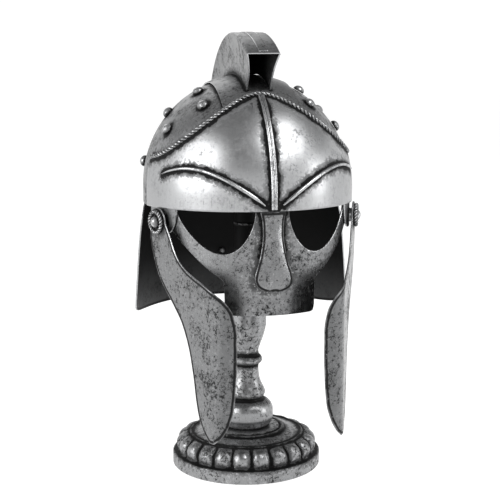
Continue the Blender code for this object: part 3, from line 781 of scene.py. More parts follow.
def makeRibs():
    sections = []
    foot = browFoot(0.0) + ribForm["centreFoot"]
    for lift in spread(ribForm["centreSteps"], foot, browForm["peakLift"] - ribForm["centreTop"]):
        middle = skin(0.0, lift, ribLevel)
        across = Vector((1.0, 0.0, 0.0))
        width, height = ribForm["centreHalfWidth"], ribForm["height"]
        sections.append(ribSection(middle, normalAt(0.0, lift), across, width, height, doubleShape))
    centre = loft("brow_centre_rib", sections, 50.0)
    dress(centre, "trim", fixedBody, ["centre_rib"])
    for name, side in bothSides:
        sections = []
        for share in spread(ribForm["steps"]):
            bearing = ribForm["start"] + (ribForm["end"] - ribForm["start"]) * share
            lift = ribLift(bearing)
            before = max(bearing - aside, ribForm["start"])
            after = bearing + aside
            ahead = skin(side * after, ribLift(after), ribLevel)
            behind = skin(side * before, ribLift(before), ribLevel)
            normal = normalAt(side * bearing, lift)
            across = (ahead - behind).cross(normal).normalized()
            ends = min(1.0, 0.35 + 9.0 * share, 0.30 + 7.0 * (1.0 - share))
            width = ribForm["halfWidth"] * (1.0 - ribForm["taper"] * share ** 2) * ends
            height = ribForm["height"] * (0.45 + 0.55 * ends)
            middle = skin(side * bearing, lift, ribLevel)
            sections.append(ribSection(middle, normal, across, width, height, roundShape))
        rib = loft("brow_rib_" + name + "_bead", sections, 50.0)
        dress(rib, "trim", fixedBody, ["brow_rib_" + name])


# Skull

def makeSkull(soot):
    count = skullForm["columns"]
    columns = [360.0 * step / count for step in range(count)]
    # rows below 0 run down to the rim, and one lies just on the foot of the dome
    rows = spread(skullForm["rows"], skullForm["skirt"], 1.0)
    rows[min(range(len(rows)), key=lambda row: abs(rows[row]))] = 0.0

    def place(bearing, row, offset):
        around = bearing if bearing <= 180.0 else bearing - 360.0
        if row < 0.0:
            low = liftOf(skullRim(around))
            return skin(around, low * row / rows[0], offset)
        return skin(around, 90.0 * row, offset)

    dome, edges = shell(
        "skull_dome", place, columns, rows, -skullForm["wall"], 0.0, wrap=True, pole=True, bulge=0.0003
    )
    dress(dome, "skull", fixedBody, ["skull"], soot, edges)


# How dark the inner side is, by place; 1 is black. Fading it by place paints shade, lighter where light
# reaches into a hollow
def fadeInnerShade(piece, share):
    mark = piece.data.attributes["inside"]
    for vertex, row in zip(piece.data.vertices, mark.data):
        row.value *= min(max(share(vertex.co), 0.0), 1.0)


# Paints shade by place, whatever the seams say: it raises the inner-side mark, which darkens the metal
def paintShade(piece, share):
    mark = piece.data.attributes["inside"]
    for vertex, row in zip(piece.data.vertices, mark.data):
        row.value = max(row.value, share(vertex.co))


# Crest and its saddle strap

saddleForm = {"halfWidth": 0.0360, "end": 174.0, "columns": 44, "rows": 150}
crestForm = {
    "height": 0.0420, "gap": 1.5, "setback": 6.0, "baseWidth": 0.0240, "topWidth": 0.0325,
    "wall": 0.0016, "corner": 0.0022, "rows": 110, "stripHalfWidth": 0.0046, "strip": 0.0006,
    "flute": 0.0016, "fluteHeight": 0.0200, "trim": 0.0004, "wallSteps": 18, "bendSteps": 7,
    "topSteps": 16, "darkFrom": -0.075, "darkOver": 0.045,
}
crestTable = [
    # share of its length, share of its height, lean forward
    (0.000, 1.00, 5.0),
    (0.038, 1.00, 3.5),
    (0.095, 1.00, 2.0),
    (0.171, 1.00, 1.0),
    (0.267, 0.98, 0.0),
    (0.362, 0.93, 0.0),
    (0.457, 0.85, 0.0),
    (0.552, 0.75, 0.0),
    (0.648, 0.63, 0.0),
    (0.743, 0.50, 0.0),
    (0.838, 0.37, 0.0),
    (0.924, 0.26, 0.0),
    (1.000, 0.17, 0.0),
]


def midline(across, station, offset):
    turn = math.radians(station)
    wide, long, tall = skullForm["halfWidth"], skullForm["halfLength"], skullForm["rise"]
    shrink = math.sqrt(1.0 - (across / wide) ** 2)
    behind = -long * shrink * math.cos(turn)
    above = tall * shrink * math.sin(turn)
    normal = Vector((across / wide ** 2, behind / long ** 2, above / tall ** 2)).normalized()
    return Vector((across, behind, above + skullForm["spring"])) + normal * offset


def ropeStation(across):
    low, high = 0.0, browForm["end"]
    for _ in range(30):
        bearing = 0.5 * (low + high)
        if ropeCentre(bearing)[0].x < abs(across):
            low = bearing
        else:
            high = bearing
    middle, upward = ropeCentre(low)
    edge = middle + upward * (browForm["ropeRadius"] + seat)
    above = (edge.z - skullForm["spring"]) / skullForm["rise"]
    return math.degrees(math.atan2(above, -edge.y / skullForm["halfLength"]))


def makeSaddle(soot):
    columns = spread(saddleForm["columns"], -saddleForm["halfWidth"], saddleForm["halfWidth"])
    starts = {across: ropeStation(across) for across in columns}

    def place(across, share, offset):
        return midline(across, starts[across] + (saddleForm["end"] - starts[across]) * share, offset)

    strap, edges = shell(
        "crest_saddle_strap", place, columns, spread(saddleForm["rows"]), seat, ribLevel - seat
    )
    dress(strap, "skull", fixedBody, ["crest_saddle"], soot, edges)


def crestFrame(share):
    first = ropeStation(0.0) + crestForm["gap"]
    station = first + (saddleForm["end"] - crestForm["setback"] - first) * share
    start = midline(0.0, station, 0.0)
    normal = (midline(0.0, station, 1.0) - start).normalized()
    rise = Matrix.Rotation(math.radians(eased(crestTable, share, 2)), 3, "X") @ normal
    high = crestForm["height"] * eased(crestTable, share, 1)
    return start, rise, high, midline(0.5 * crestForm["baseWidth"], station, ribLevel)


# The crest's section runs from foot to foot: two hollowed sides and a flat top with round corners
def makeCrest(soot):
    cut = crestForm["corner"]
    half = [("wall", share) for share in spread(crestForm["wallSteps"])[:-1]]
    half += [("bend", share) for share in spread(crestForm["bendSteps"])[:-1]]
    stations = [(kind, 1.0, share) for kind, share in half]
    stations += [("top", 1.0, share) for share in spread(crestForm["topSteps"])]
    stations += [(kind, -1.0, share) for kind, share in reversed(half)]
    frames = {}

    def place(key, share, offset):
        if share not in frames:
            frames[share] = crestFrame(share)
        start, rise, high, foot = frames[share]
        kind, side, along = stations[key]
        drop = crestForm["strip"]
        top = start + rise * (ribLevel + high - drop - crestForm["trim"])
        wide = 0.5 * crestForm["topWidth"]
        footSide = Vector((side * foot.x, foot.y, foot.z))
        level = top - rise * cut
        shoulder = level + Vector((side * wide, 0.0, 0.0))
        climb = shoulder - footSide
        outward = Vector((side * climb.dot(rise), 0.0, 0.0)) - rise * (climb.x * side)
        outward = outward.normalized()
        if kind == "wall":
            hollow = crestForm["flute"] * math.sin(math.pi * along)
            hollow *= min(1.0, high / crestForm["fluteHeight"])
            return footSide + climb * along - outward * hollow + outward * offset
        centre = level + Vector((side * (wide - cut), 0.0, 0.0))
        if kind == "bend":
            angle = 0.5 * math.pi * along
            ray = Vector((side * math.cos(angle), 0.0, 0.0)) + rise * math.sin(angle)
            return centre + ray * (cut + offset)
        reach = (wide - cut) * (1.0 - 2.0 * along)
        return top + Vector((reach, 0.0, 0.0)) + rise * offset

    shares = spread(crestForm["rows"])
    comb, edges = shell(
        "crest_comb", place, range(len(stations)), shares, -crestForm["wall"], 0.0, bulge=0.0003
    )
    # Painted shade: the hollow's inner side goes from bare metal at the open front to black further in
    fadeInnerShade(comb, lambda spot: (spot.y - crestForm["darkFrom"]) / crestForm["darkOver"])
    dress(comb, "crest", fixedBody, ["crest"], soot, edges)

    def stripPlace(across, share, offset):
        start, rise, high, _ = frames[share]
        level = ribLevel + high - crestForm["strip"] - crestForm["trim"]
        return start + rise * (level + offset) + Vector((across, 0.0, 0.0))

    wide = crestForm["stripHalfWidth"]
    strip, edges = shell(
        "crest_top_strip", stripPlace, spread(9, -wide, wide), shares[1:-1], 0.00005,
        crestForm["strip"], bulge=0.0002,
    )
    dress(strip, "crest", fixedBody, (), soot, edges)


# Studs and rivets

studForm = {
    "radius": 0.0056, "height": 0.0047, "flange": 0.0056, "flangeHeight": 0.0006, "sides": 28,
}
studTable = [
    # bearing, lift above the rope border
    (52.0, 22.5),
    (74.0, 16.5),
    (78.0, 44.0),
    (96.0, 26.0),
    (106.0, -4.0),
]
rivetForm = {
    "radius": 0.0033, "height": 0.0017, "flange": 0.0038, "flangeHeight": 0.0004, "sides": 20,
    "napeDrop": 0.0725, "lapRise": 0.0050, "lapBearing": 132.0,
}


def studSeats():
    seats = []
    for side in (1, -1):
        for bearing, rise in studTable:
            lift = browTop(bearing) + rise
            seats.append((skin(side * bearing, lift, clear), normalAt(side * bearing, lift)))
    return seats


def headsOn(name, seats, form, metal):
    data = bpy.data.meshes.new(name + "_points")
    data.from_pydata([tuple(point) for point, _ in seats], [], [])
    mark = data.attributes.new("facing", "FLOAT_VECTOR", "POINT")
    mark.data.foreach_set("vector", [part for _, normal in seats for part in normal])
    carrier = bpy.data.objects.new(name + "_points", data)
    bpy.context.scene.collection.objects.link(carrier)
    return runTree(name, carrier, headTree, {
        "Radius": form["radius"], "Height": form["height"], "Flange": form["flange"],
        "Flange Height": form["flangeHeight"], "Sides": form["sides"], "Material": metals[metal],
    })


def makeStuds():
    rings = Lines()
    for point, normal in studSeats():
        rings.add(circleAt(point, normal, studForm["radius"]), closed=True)
    nodes = ["stud_%s_%d" % (name, n + 1) for name, _ in bothSides for n in range(len(studTable))]
    studs = headsOn("skull_studs", studSeats(), studForm, "trim")
    dress(studs, "trim", fixedBody, nodes, rings)


# Face plate and nasal

faceForm = {
    "drop": 0.0935, "eyeInner": 9.0, "templeStrip": 6.0, "eyeDrop": 0.0410, "lap": 0.0100,
    "rows": 64, "eyeColumns": 74, "noseColumns": 10, "stripColumns": 8, "fine": 0.45,
    "finest": 0.06, "eyeMargin": 0.2,
}
faceTable = [
    # share of its bearing, share of its drop
    (0.000, 1.00),
    (0.382, 1.00),
    (0.405, 0.985),
    (0.416, 0.93),
    (0.421, 0.665),
    (0.453, 0.625),
    (0.550, 0.555),
    (0.680, 0.445),
    (0.810, 0.325),
    (0.922, 0.215),
    (1.000, 0.150),
]
# shares of the bearing at which the lower edge steps up, where the mesh needs more columns
faceStep = (0.400, 0.405, 0.4105, 0.416, 0.4185, 0.421, 0.425, 0.43)
nasalForm = {
    "length": 0.0735, "tip": 0.20, "halfWidth": 0.0180, "ridge": 0.0042, "lean": 0.0060,
    "wall": 0.0020, "columns": 41, "rows": 90,
}
nasalTable = [
    # share of the length, half width, ridge
    (0.00, 0.66, 0.55),
    (0.12, 0.55, 0.75),
    (0.28, 0.52, 1.00),
    (0.48, 0.61, 1.00),
    (0.66, 0.78, 1.00),
    (0.80, 0.96, 0.90),
    (0.88, 1.00, 0.80),
    (1.00, 1.00, 0.55),
]


def faceEnd():
    button = bossForm["shank"] + bossForm["lip"] + 2.0 * seat
    return bossForm["bearing"] - math.degrees(button / skullForm["halfWidth"])


def eyeOuter():
    return faceEnd() - faceForm["templeStrip"]


def eyeDepth(bearing):
    share = (bearing - faceForm["eyeInner"]) / (eyeOuter() - faceForm["eyeInner"])
    if share <= 0.0 or share >= 1.0:
        return 0.0
    return faceForm["eyeDrop"] * math.sin(math.pi * share ** 0.72) ** 0.75


def plainTable(table, value):
    for low, high in zip(table, table[1:]):
        if value <= high[0]:
            share = (value - low[0]) / (high[0] - low[0])
            return low[1] + (high[1] - low[1]) * max(share, 0.0)
    return table[-1][1]


def makeFace(soot):
    inner, outer, fine = faceForm["eyeInner"], eyeOuter(), faceForm["fine"]
    half = spread(faceForm["noseColumns"], 0.0, inner - 2.0 * fine)
    half += [inner - fine, inner]
    for share in spread(faceForm["eyeColumns"]):
        half.append(inner + (outer - inner) * (0.5 - 0.5 * math.cos(math.pi * share)))
    half += [outer + fine] + spread(faceForm["stripColumns"], outer + 1.0, faceEnd())
    half += [faceEnd() * share for share in faceStep]
    kept = []
    for bearing in sorted(half):
        if not kept or bearing - kept[-1] > faceForm["finest"]:
            kept.append(bearing)
    columns = [-bearing for bearing in reversed(kept[1:])] + kept
    level = -(skullForm["wall"] + seat)

    def place(bearing, share, offset):
        around = abs(bearing)
        rim = plainRim(around)
        low = plainRim(90.0) - faceForm["drop"] * plainTable(faceTable, around / faceEnd())
        inEye = inner - faceForm["eyeMargin"] < around < outer + faceForm["eyeMargin"]
        high = rim - eyeDepth(around) if inEye else rim + faceForm["lap"]
        return skin(bearing, liftOf(low + (high - low) * share), offset)

    plate, edges = shell(
        "face_plate_sheet", place, columns, spread(faceForm["rows"]), level - plateWall, level
    )
    dress(plate, "face", fixedBody, ["face_plate"], soot, edges)


def nasalPoint(share, drop, offset):
    inner = -skullForm["wall"]
    top = plainRim(0.0) - seat
    past = max(drop - 1.0 + nasalForm["tip"], 0.0) / nasalForm["tip"]
    rounding = (1.0 - min(past, 0.996) ** 3) ** (1.0 / 3.0)
    across = share * eased(nasalTable, drop, 1) * rounding * nasalForm["halfWidth"]
    bearing = math.degrees(math.asin(across / (skullForm["halfWidth"] + inner)))
    point = skin(bearing, liftOf(top - nasalForm["length"] * drop), inner)
    ridge = nasalForm["ridge"] * eased(nasalTable, drop, 2) * (1.0 - abs(share) ** 1.25)
    return point - Vector((0.0, ridge + nasalForm["lean"] * drop ** 2 + offset, 0.0))


def makeNasal():
    columns = spread(nasalForm["columns"], -1.0, 1.0)
    rows = [math.sin(0.5 * math.pi * share) for share in spread(nasalForm["rows"])]
    bar, edges = shell("nasal_bar", nasalPoint, columns, rows, 0.0, nasalForm["wall"], bulge=0.0005)
    dress(bar, "guard", fixedBody, ["nasal"], None, edges)


# Cheek guards, bosses and roped rings

bossForm = {
    "bearing": 65.5, "drop": 0.0130, "shank": 0.0030, "collar": 0.0068, "radius": 0.0066,
    "height": 0.0056, "wall": 0.0016, "lip": 0.0022, "flange": 0.0008, "ringRadius": 0.0100,
    "ringWire": 0.0019, "ringGroove": 0.40, "ringTurns": 11, "sides": 48, "soft": 0.0003,
    "domeShare": 0.86, "ringStep": 0.0004, "ringSides": 18,
}
guardForm = {
    "earRadius": 0.0130, "earPlay": 0.0010, "wall": 0.0016, "drop": 0.1965, "sweep": 0.0900,
    "reach": 0.1150, "foldStart": 0.0880, "foldRadius": 0.0200, "foldAngle": 60.0,
    "frontPaintedShade": 0.34, "frontFade": 0.016, "columns": 54, "rows": 150, "holeSides": 32,
    "drillLength": 0.012,
}
guardTable = [
    # share of the drop, rear edge's share of the sweep, front edge's share of the reach
    (0.000, 0.00, 0.000),
    (0.060, 0.00, 0.080),
    (0.120, 0.02, 0.150),
    (0.165, 0.055, 0.230),
    (0.200, 0.09, 0.340),
    (0.228, 0.12, 0.490),
    (0.252, 0.15, 0.660),
    (0.280, 0.195, 0.800),
    (0.320, 0.28, 0.905),
    (0.380, 0.43, 0.970),
    (0.470, 0.62, 1.000),
    (0.590, 0.755, 1.000),
    (0.720, 0.835, 0.990),
    (0.830, 0.885, 0.970),
    (0.910, 0.945, 0.925),
    (0.965, 1.03, 0.865),
    (1.000, 1.13, 0.790),
]


def bossSeat(side):
    lift = liftOf(plainRim(bossForm["bearing"]) - bossForm["drop"])
    return skin(side * bossForm["bearing"], lift, 0.0), normalAt(side * bossForm["bearing"], lift)


def guardLevel():
    return seat + plateWall + guardForm["earPlay"]


def guardPlan(along, offset):
    radius, start = guardForm["foldRadius"], guardForm["foldStart"]
    if along <= start:
        return along, guardLevel() + offset
    turn = min((along - start) / radius, math.radians(guardForm["foldAngle"]))
    forward = start + (radius + offset) * math.sin(turn)
    inward = radius - (radius + offset) * math.cos(turn)
    rest = along - start - radius * turn
    return forward + rest * math.cos(turn), guardLevel() - inward - rest * math.sin(turn)


def guardRow(share):
    # drop, rear edge and front edge of a row: a round ear over the blade
    ear, total = guardForm["earRadius"], guardForm["drop"]
    reach = ear + total
    drop = reach * share - ear
    if drop < 0.0:
        width = math.sqrt(max(ear ** 2 - drop ** 2, (0.06 * ear) ** 2))
        return drop, -width, width
    back = guardForm["sweep"] * eased(guardTable, drop / total, 1) - ear
    front = ear + (guardForm["reach"] - ear) * eased(guardTable, drop / total, 2)
    return drop, back, front


def makeGuard(name, side):
    point, normal = bossSeat(side)
    forward = Vector((-side * abs(normal.y), -abs(normal.x), 0.0))
    rows = [0.5 - 0.5 * math.cos(math.pi * share) for share in spread(9)]
    ear = guardForm["earRadius"] / (guardForm["earRadius"] + guardForm["drop"])
    rows = [ear * 0.5 * row for row in rows[:-1]] + spread(guardForm["rows"], ear * 0.5, 1.0)
    found = {row: guardRow(row) for row in rows}

    def place(column, row, offset):
        drop, back, front = found[row]
        along, outward = guardPlan(back + (front - back) * column, offset)
        return point + forward * along + normal * outward - Vector((0.0, 0.0, drop))

    blade, edges = shell(
        name + "_blade", place, spread(guardForm["columns"]), rows, 0.0, guardForm["wall"], bulge=0.0005
    )

    # Painted shade: past the fold the front facet is darkened, so the fold shows in the shading
    def frontShade(spot):
        past = (spot - point).dot(forward) - guardForm["foldStart"]
        return guardForm["frontPaintedShade"] * min(max(past, 0.0) / guardForm["frontFade"], 1.0)

    paintShade(blade, frontShade)
    marks = Lines()
    level = guardLevel() + guardForm["wall"]
    marks.add(circleAt(point + normal * level, normal, bossForm["ringRadius"]), closed=True)
    drillHole(blade, point + normal * guardLevel(), normal, bossForm["shank"] + 2.0 * clear)
    dress(blade, "guard", name, [name], marks, edges)


def drillHole(piece, point, normal, radius):
    mesh = bmesh.new()
    bmesh.ops.create_cone(
        mesh, cap_ends=True, segments=guardForm["holeSides"], radius1=radius, radius2=radius,
        depth=guardForm["drillLength"],
    )
    data = bpy.data.meshes.new("drill")
    mesh.to_mesh(data)
    mesh.free()
    drill = bpy.data.objects.new("drill", data)
    drill.matrix_world = Matrix.Translation(point) @ facing(normal).to_4x4()
    bpy.context.scene.collection.objects.link(drill)
    cut = piece.modifiers.new("hole", "BOOLEAN")
    cut.operation = "DIFFERENCE"
    cut.solver = "EXACT"
    cut.object = drill
    view = bpy.context.evaluated_depsgraph_get()
    old = piece.data
    piece.data = bpy.data.meshes.new_from_object(piece.evaluated_get(view))
    piece.modifiers.remove(cut)
    bpy.data.objects.remove(drill)
    bpy.data.meshes.remove(old)


# Turns a profile of (radius, height, lobe) rows; place takes it from +Z at the origin
def turnedPiece(name, profile, sides, metal, lobes=0.0, depth=0.0, drop=0.0, place=None, angle=35.0):
    carrier = lineObject(name + "_line", [Vector((row[0], 0.0, row[1])) for row in profile])
    mark = carrier.data.attributes.new("lobe", "FLOAT", "POINT")
    mark.data.foreach_set("value", [row[2] if len(row) > 2 else 0.0 for row in profile])
    piece = runTree(name, carrier, turnedTree, {
        "Sides": sides, "Lobes": lobes, "Lobe Depth": depth, "Lobe Drop": drop,
        "Material": metals[metal],
    }, angle)
    if place is not None:
        piece.data.transform(place)
    return piece


def arc(centreX, centreZ, radiusX, radiusZ, start, end, steps):
    rows = []
    for angle in spread(steps, start, end):
        turn = math.radians(angle)
        rows.append((centreX + radiusX * math.cos(turn), centreZ + radiusZ * math.sin(turn)))
    return rows


def makeBoss(name, side):
    point, normal = bossSeat(side)
    inside = -(skullForm["wall"] + seat)
    ear = guardLevel()
    head = ear + guardForm["wall"] + clear
    shank, collar, radius = bossForm["shank"], bossForm["collar"], bossForm["radius"]
    button = shank + bossForm["lip"]
    soft = bossForm["soft"]
    profile = [(0.0, inside - bossForm["wall"])]
    profile += arc(button - soft, inside - bossForm["wall"] + soft, soft, soft, -90.0, 0.0, 4)
    profile += [(button, inside), (shank, inside), (shank, clear)]
    profile += arc(collar - soft, clear + soft, soft, soft, -90.0, 0.0, 4)
    profile += arc(collar - soft, ear - clear - soft, soft, soft, 0.0, 90.0, 4)
    profile += [(shank, ear - clear), (shank, head)]
    profile += arc(radius - soft, head + soft, soft, soft, -90.0, 30.0, 5)
    dome = bossForm["domeShare"] * radius
    top = head + bossForm["flange"]
    profile += arc(0.0, top, dome, bossForm["height"], 0.0, 90.0, 16)
    place = Matrix.Translation(point) @ facing(normal).to_4x4()
    boss = turnedPiece(
        "hinge_boss_" + name + "_head", profile, bossForm["sides"], "trim", place=place
    )
    marks = Lines()
    marks.add(circleAt(point + normal * top, normal, dome + soft), closed=True)
    dress(boss, "trim", fixedBody, ["hinge_boss_" + name], marks)

    level = head + bossForm["ringWire"]
    ringPath = circleAt(point + normal * level, normal, bossForm["ringRadius"], 96)
    length = 2.0 * math.pi * bossForm["ringRadius"]
    carrier = lineObject("ring_line", ringPath, closed=True)
    rope = runTree("hinge_ring_" + name + "_twist", carrier, ropeTree, {
        "Radius": bossForm["ringWire"], "Groove": bossForm["ringGroove"], "Strands": 2.0,
        "Pitch": length / bossForm["ringTurns"], "Step": bossForm["ringStep"],
        "Sides": bossForm["ringSides"], "Material": metals["rope"],
    }, 60.0)
    markHollows(rope, ringPath + ringPath[:1], bossForm["ringWire"], bossForm["ringGroove"])
    dress(rope, "rope", "cheek_guard_" + name, ["hinge_ring_" + name])


# Neck guard

neckForm = {
    "start": 97.2, "drop": 0.1225, "middleDrop": 0.0585, "flare": 0.0130, "lap": 0.0100,
    "columns": 120, "rows": 80, "endShare": 0.9995, "lowShade": 0.78, "shadeRise": 4.0,
}


def neckLow():
    return plainRim(180.0) - neckForm["drop"]


def neckKnee():
    return plainRim(180.0) - 0.5 * plateWall


def neckOffset(height):
    inside = -(skullForm["wall"] + seat)
    below = neckKnee() - height
    if below <= 0.0:
        return inside
    return inside + neckForm["flare"] * math.sqrt(below / (neckKnee() - neckLow()))


def neckEdges(bearing):
    away = min(abs(bearing - 180.0) / (180.0 - neckForm["start"]), 1.0)
    swell = (1.0 - away ** 6) ** (1.0 / 6.0)
    middle = plainRim(180.0) - neckForm["middleDrop"]
    top = middle + (plainRim(180.0) + neckForm["lap"] - middle) * swell
    low = middle + (neckLow() - middle) * swell
    return low, top


def makeNeck(soot):
    half = 180.0 - neckForm["start"]
    columns = []
    for share in spread(neckForm["columns"], -1.0, 1.0):
        columns.append(180.0 + half * math.sin(0.5 * math.pi * share) * neckForm["endShare"])
    rows = spread(neckForm["rows"])

    def place(bearing, row, offset):
        low, top = neckEdges(bearing)
        height = low + (top - low) * row
        return skin(bearing, liftOf(height), neckOffset(height) + offset)

    plate, edges = shell("neck_guard_sheet", place, columns, rows, -plateWall, 0.0, bulge=0.0002)
    # Painted shade: the inner side darkens upward, toward the skull, from its lighter lower edge
    fadeInnerShade(
        plate, lambda spot: neckForm["lowShade"] + neckForm["shadeRise"] * (spot.z - neckLow())
    )
    dress(plate, "neck", fixedBody, ["neck_guard"], soot, edges)


def lapRivetSeats():
    seats = []
    for bearing in (rivetForm["lapBearing"], 180.0, 360.0 - rivetForm["lapBearing"]):
        lift = liftOf(plainRim(bearing) + rivetForm["lapRise"])
        seats.append((skin(bearing, lift, clear), normalAt(bearing, lift)))
    return seats


def napeRivetSeat():
    height = plainRim(180.0) - rivetForm["napeDrop"]
    lift = liftOf(height)
    normal = normalAt(180.0, lift)
    return skin(180.0, lift, neckOffset(height)) + normal * clear, normal


def makeRivets():
    heads = lapRivetSeats() + [napeRivetSeat()]
    tails = []
    for point, normal in lapRivetSeats():
        depth = skullForm["wall"] + plateWall + 2.0 * seat + clear
        tails.append((point - normal * depth, -normal))
    point, normal = napeRivetSeat()
    tails.append((point - normal * (plateWall + seat + clear), -normal))
    nodes = ["neck_rivet_left", "neck_rivet_back", "neck_rivet_right", "nape_rivet"]
    rings = Lines()
    for point, normal in heads + tails:
        rings.add(circleAt(point, normal, rivetForm["flange"]), closed=True)
    rivets = headsOn("neck_rivets", heads + tails, rivetForm, "trim")
    dress(rivets, "trim", fixedBody, nodes, rings)


# Stand

baseForm = {
    "radius": 0.0760, "height": 0.0390, "sides": 352, "edge": 0.0008, "rim": 0.0012,
    "rimHeight": 0.33, "lobes": 22, "lobeDepth": 0.0034, "lobeDrop": 0.7, "lobeSteps": 30,
    "lobeMiddle": (0.795, 0.535), "lobeReach": (0.155, 0.275), "lobeStart": -38.0, "lobeTurn": 128.0,
    "deck": (0.720, 0.835), "deckRun": 0.200, "deckRise": 0.080, "deckSteps": 14,
}
baseGrooves = {
    # share of the radius, share of the height
    "rim": (0.958, 0.332), "lobes": (0.778, 0.795), "deck": (0.728, 0.825),
    "collar": (0.462, 0.925), "bead": (0.522, 0.915),
}
baseRolls = {
    # share of the radius, share of the height, half width, half height, from, to, steps
    "lobes": (0.757, 0.812, 0.0013, 0.0013, 0.0, 150.0, 8),
    "bead": (0.497, 0.925, 0.0020, 0.0018, 20.0, 170.0, 9),
    "collar": (0.415, 0.955, 0.0026, 0.0017, 0.0, 90.0, 7),
}
columnForm = {"radius": 0.0278, "height": 0.1330, "sides": 120, "steps": 150}
columnTable = [
    # share of the height, share of the radius
    (0.000, 0.86),
    (0.030, 0.94),
    (0.075, 1.00),
    (0.125, 1.00),
    (0.165, 0.94),
    (0.195, 0.81),
    (0.212, 0.61),
    (0.224, 0.60),
    (0.238, 0.67),
    (0.262, 0.71),
    (0.286, 0.68),
    (0.332, 0.57),
    (0.385, 0.49),
    (0.460, 0.455),
    (0.490, 0.48),
    (0.500, 0.55),
    (0.524, 0.60),
    (0.548, 0.55),
    (0.560, 0.48),
    (0.590, 0.455),
    (0.650, 0.535),
    (0.740, 0.68),
    (0.820, 0.745),
    (0.890, 0.74),
    (0.950, 0.66),
    (1.000, 0.47),
]
columnGrooves = (0.0, 0.208, 0.224, 0.486, 0.563, 1.0)
postForm = {
    "radius": 0.0115, "edge": 0.0004, "joint": 0.0780, "collar": 0.0010, "collarHalf": 0.0014,
    "lip": 0.0016, "groove": 0.0018, "restRadius": 0.0280, "restEdge": 0.0040, "sides": 64,
}


def ringsOf(rows, steps=72):
    lines = Lines()
    upward = Vector((0.0, 0.0, 1.0))
    for radius, height in rows:
        lines.add(circleAt(upward * height, upward, radius, steps), closed=True)
    return lines


def makeBase():
    high, wide = baseForm["height"], baseForm["radius"]
    rim, edge = baseForm["rim"], baseForm["edge"]
    grooves = {name: (wide * across, high * up) for name, (across, up) in baseGrooves.items()}

    def roll(name):
        across, up, *rest = baseRolls[name]
        return arc(wide * across, high * up, *rest)

    profile = [(0.0, 0.0), (wide - edge, 0.0), (wide, edge)]
    profile += arc(wide - rim, high * baseForm["rimHeight"] - rim, rim, rim, 0.0, 90.0, 6)
    profile.append(grooves["rim"])
    lobe = []
    for share in spread(baseForm["lobeSteps"]):
        angle = math.radians(baseForm["lobeStart"] + baseForm["lobeTurn"] * share)
        radius = wide * (baseForm["lobeMiddle"][0] + baseForm["lobeReach"][0] * math.cos(angle))
        height = high * (baseForm["lobeMiddle"][1] + baseForm["lobeReach"][1] * math.sin(angle))
        lobe.append((radius, height, min(1.0, share * 6.0, (1.0 - share) * 5.0)))
    profile += lobe + [grooves["lobes"]] + roll("lobes") + [grooves["deck"]]
    for share in spread(baseForm["deckSteps"]):
        radius = wide * (baseForm["deck"][0] - baseForm["deckRun"] * share)
        profile.append((radius, high * (baseForm["deck"][1] + baseForm["deckRise"] * share ** 1.6)))
    profile += roll("bead") + [grooves["collar"], (wide * 0.450, high * 0.935)]
    profile += roll("collar") + [(0.0, high)]
    depth, drop = baseForm["lobeDepth"], baseForm["lobeDrop"]
    foot = turnedPiece(
        "stand_foot", profile, baseForm["sides"], "cast",
        lobes=float(baseForm["lobes"]), depth=depth, drop=depth * drop,
    )
    soot = ringsOf(grooves.values(), 220)
    for number in range(baseForm["lobes"]):
        angle = 2.0 * math.pi * number / baseForm["lobes"]
        valley = []
        for radius, height, fade in lobe:
            radius -= depth * fade
            height -= depth * drop * fade
            valley.append(Vector((radius * math.cos(angle), radius * math.sin(angle), height)))
        soot.add(valley)
    dress(foot, "cast", fixedBody, ["stand_base"], soot)


def makeColumn():
    foot = baseForm["height"] + clear
    wide, tall = columnForm["radius"], columnForm["height"]
    profile = [(0.0, foot)]
    for share in spread(columnForm["steps"]):
        profile.append((wide * eased(columnTable, share, 1), foot + tall * share))
    profile.append((0.0, foot + tall))
    column = turnedPiece("stand_turned_column", profile, columnForm["sides"], "cast")
    grooves = [(wide * eased(columnTable, share, 1), foot + tall * share) for share in columnGrooves]
    dress(column, "cast", fixedBody, ["stand_column"], ringsOf(grooves))


def restTop(x, y):
    wide = skullForm["halfWidth"] - skullForm["wall"]
    long = skullForm["halfLength"] - skullForm["wall"]
    tall = skullForm["rise"] - skullForm["wall"]
    rise = tall * math.sqrt(1.0 - (x / wide) ** 2 - (y / long) ** 2)
    return skullForm["spring"] + rise - seat


def makePost():
    foot = baseForm["height"] + columnForm["height"] + 2.0 * clear
    restFoot = restTop(postForm["restRadius"], 0.0) - postForm["restEdge"]
    radius, collar, edge = postForm["radius"], postForm["collar"], postForm["edge"]
    lip, groove = postForm["lip"], postForm["groove"]
    top = restFoot - clear
    joint = foot + postForm["joint"]
    profile = [(0.0, foot), (radius - edge, foot), (radius, foot + edge)]
    profile += [(radius, joint - groove), (radius + 0.2 * collar, joint - lip)]
    profile += arc(radius, joint, collar, postForm["collarHalf"], -70.0, 70.0, 9)
    profile += [(radius + 0.2 * collar, joint + lip), (radius, joint + groove)]
    profile += [(radius, top), (0.0, top)]
    post = turnedPiece("stand_tube_post", profile, postForm["sides"], "trim")
    grooves = [(radius, joint - groove), (radius, joint + groove), (radius, foot), (radius, top)]
    dress(post, "trim", fixedBody, ["stand_post"], ringsOf(grooves))

    wide = postForm["restRadius"]
    sections = []
    for share in [1.0] + [1.0 - 0.02 * step for step in range(3)] + spread(12, 0.9, 0.0):
        section = []
        for step in range(postForm["sides"]):
            angle = 2.0 * math.pi * step / postForm["sides"]
            x, y = wide * share * math.cos(angle), wide * share * math.sin(angle)
            section.append((x, y, restTop(x, y) if sections else restFoot))
        sections.append(section)
    rest = loft("head_rest_cap", sections)
    dress(rest, "cast", fixedBody, ["head_rest"])


# Where soot gathers on each sheet

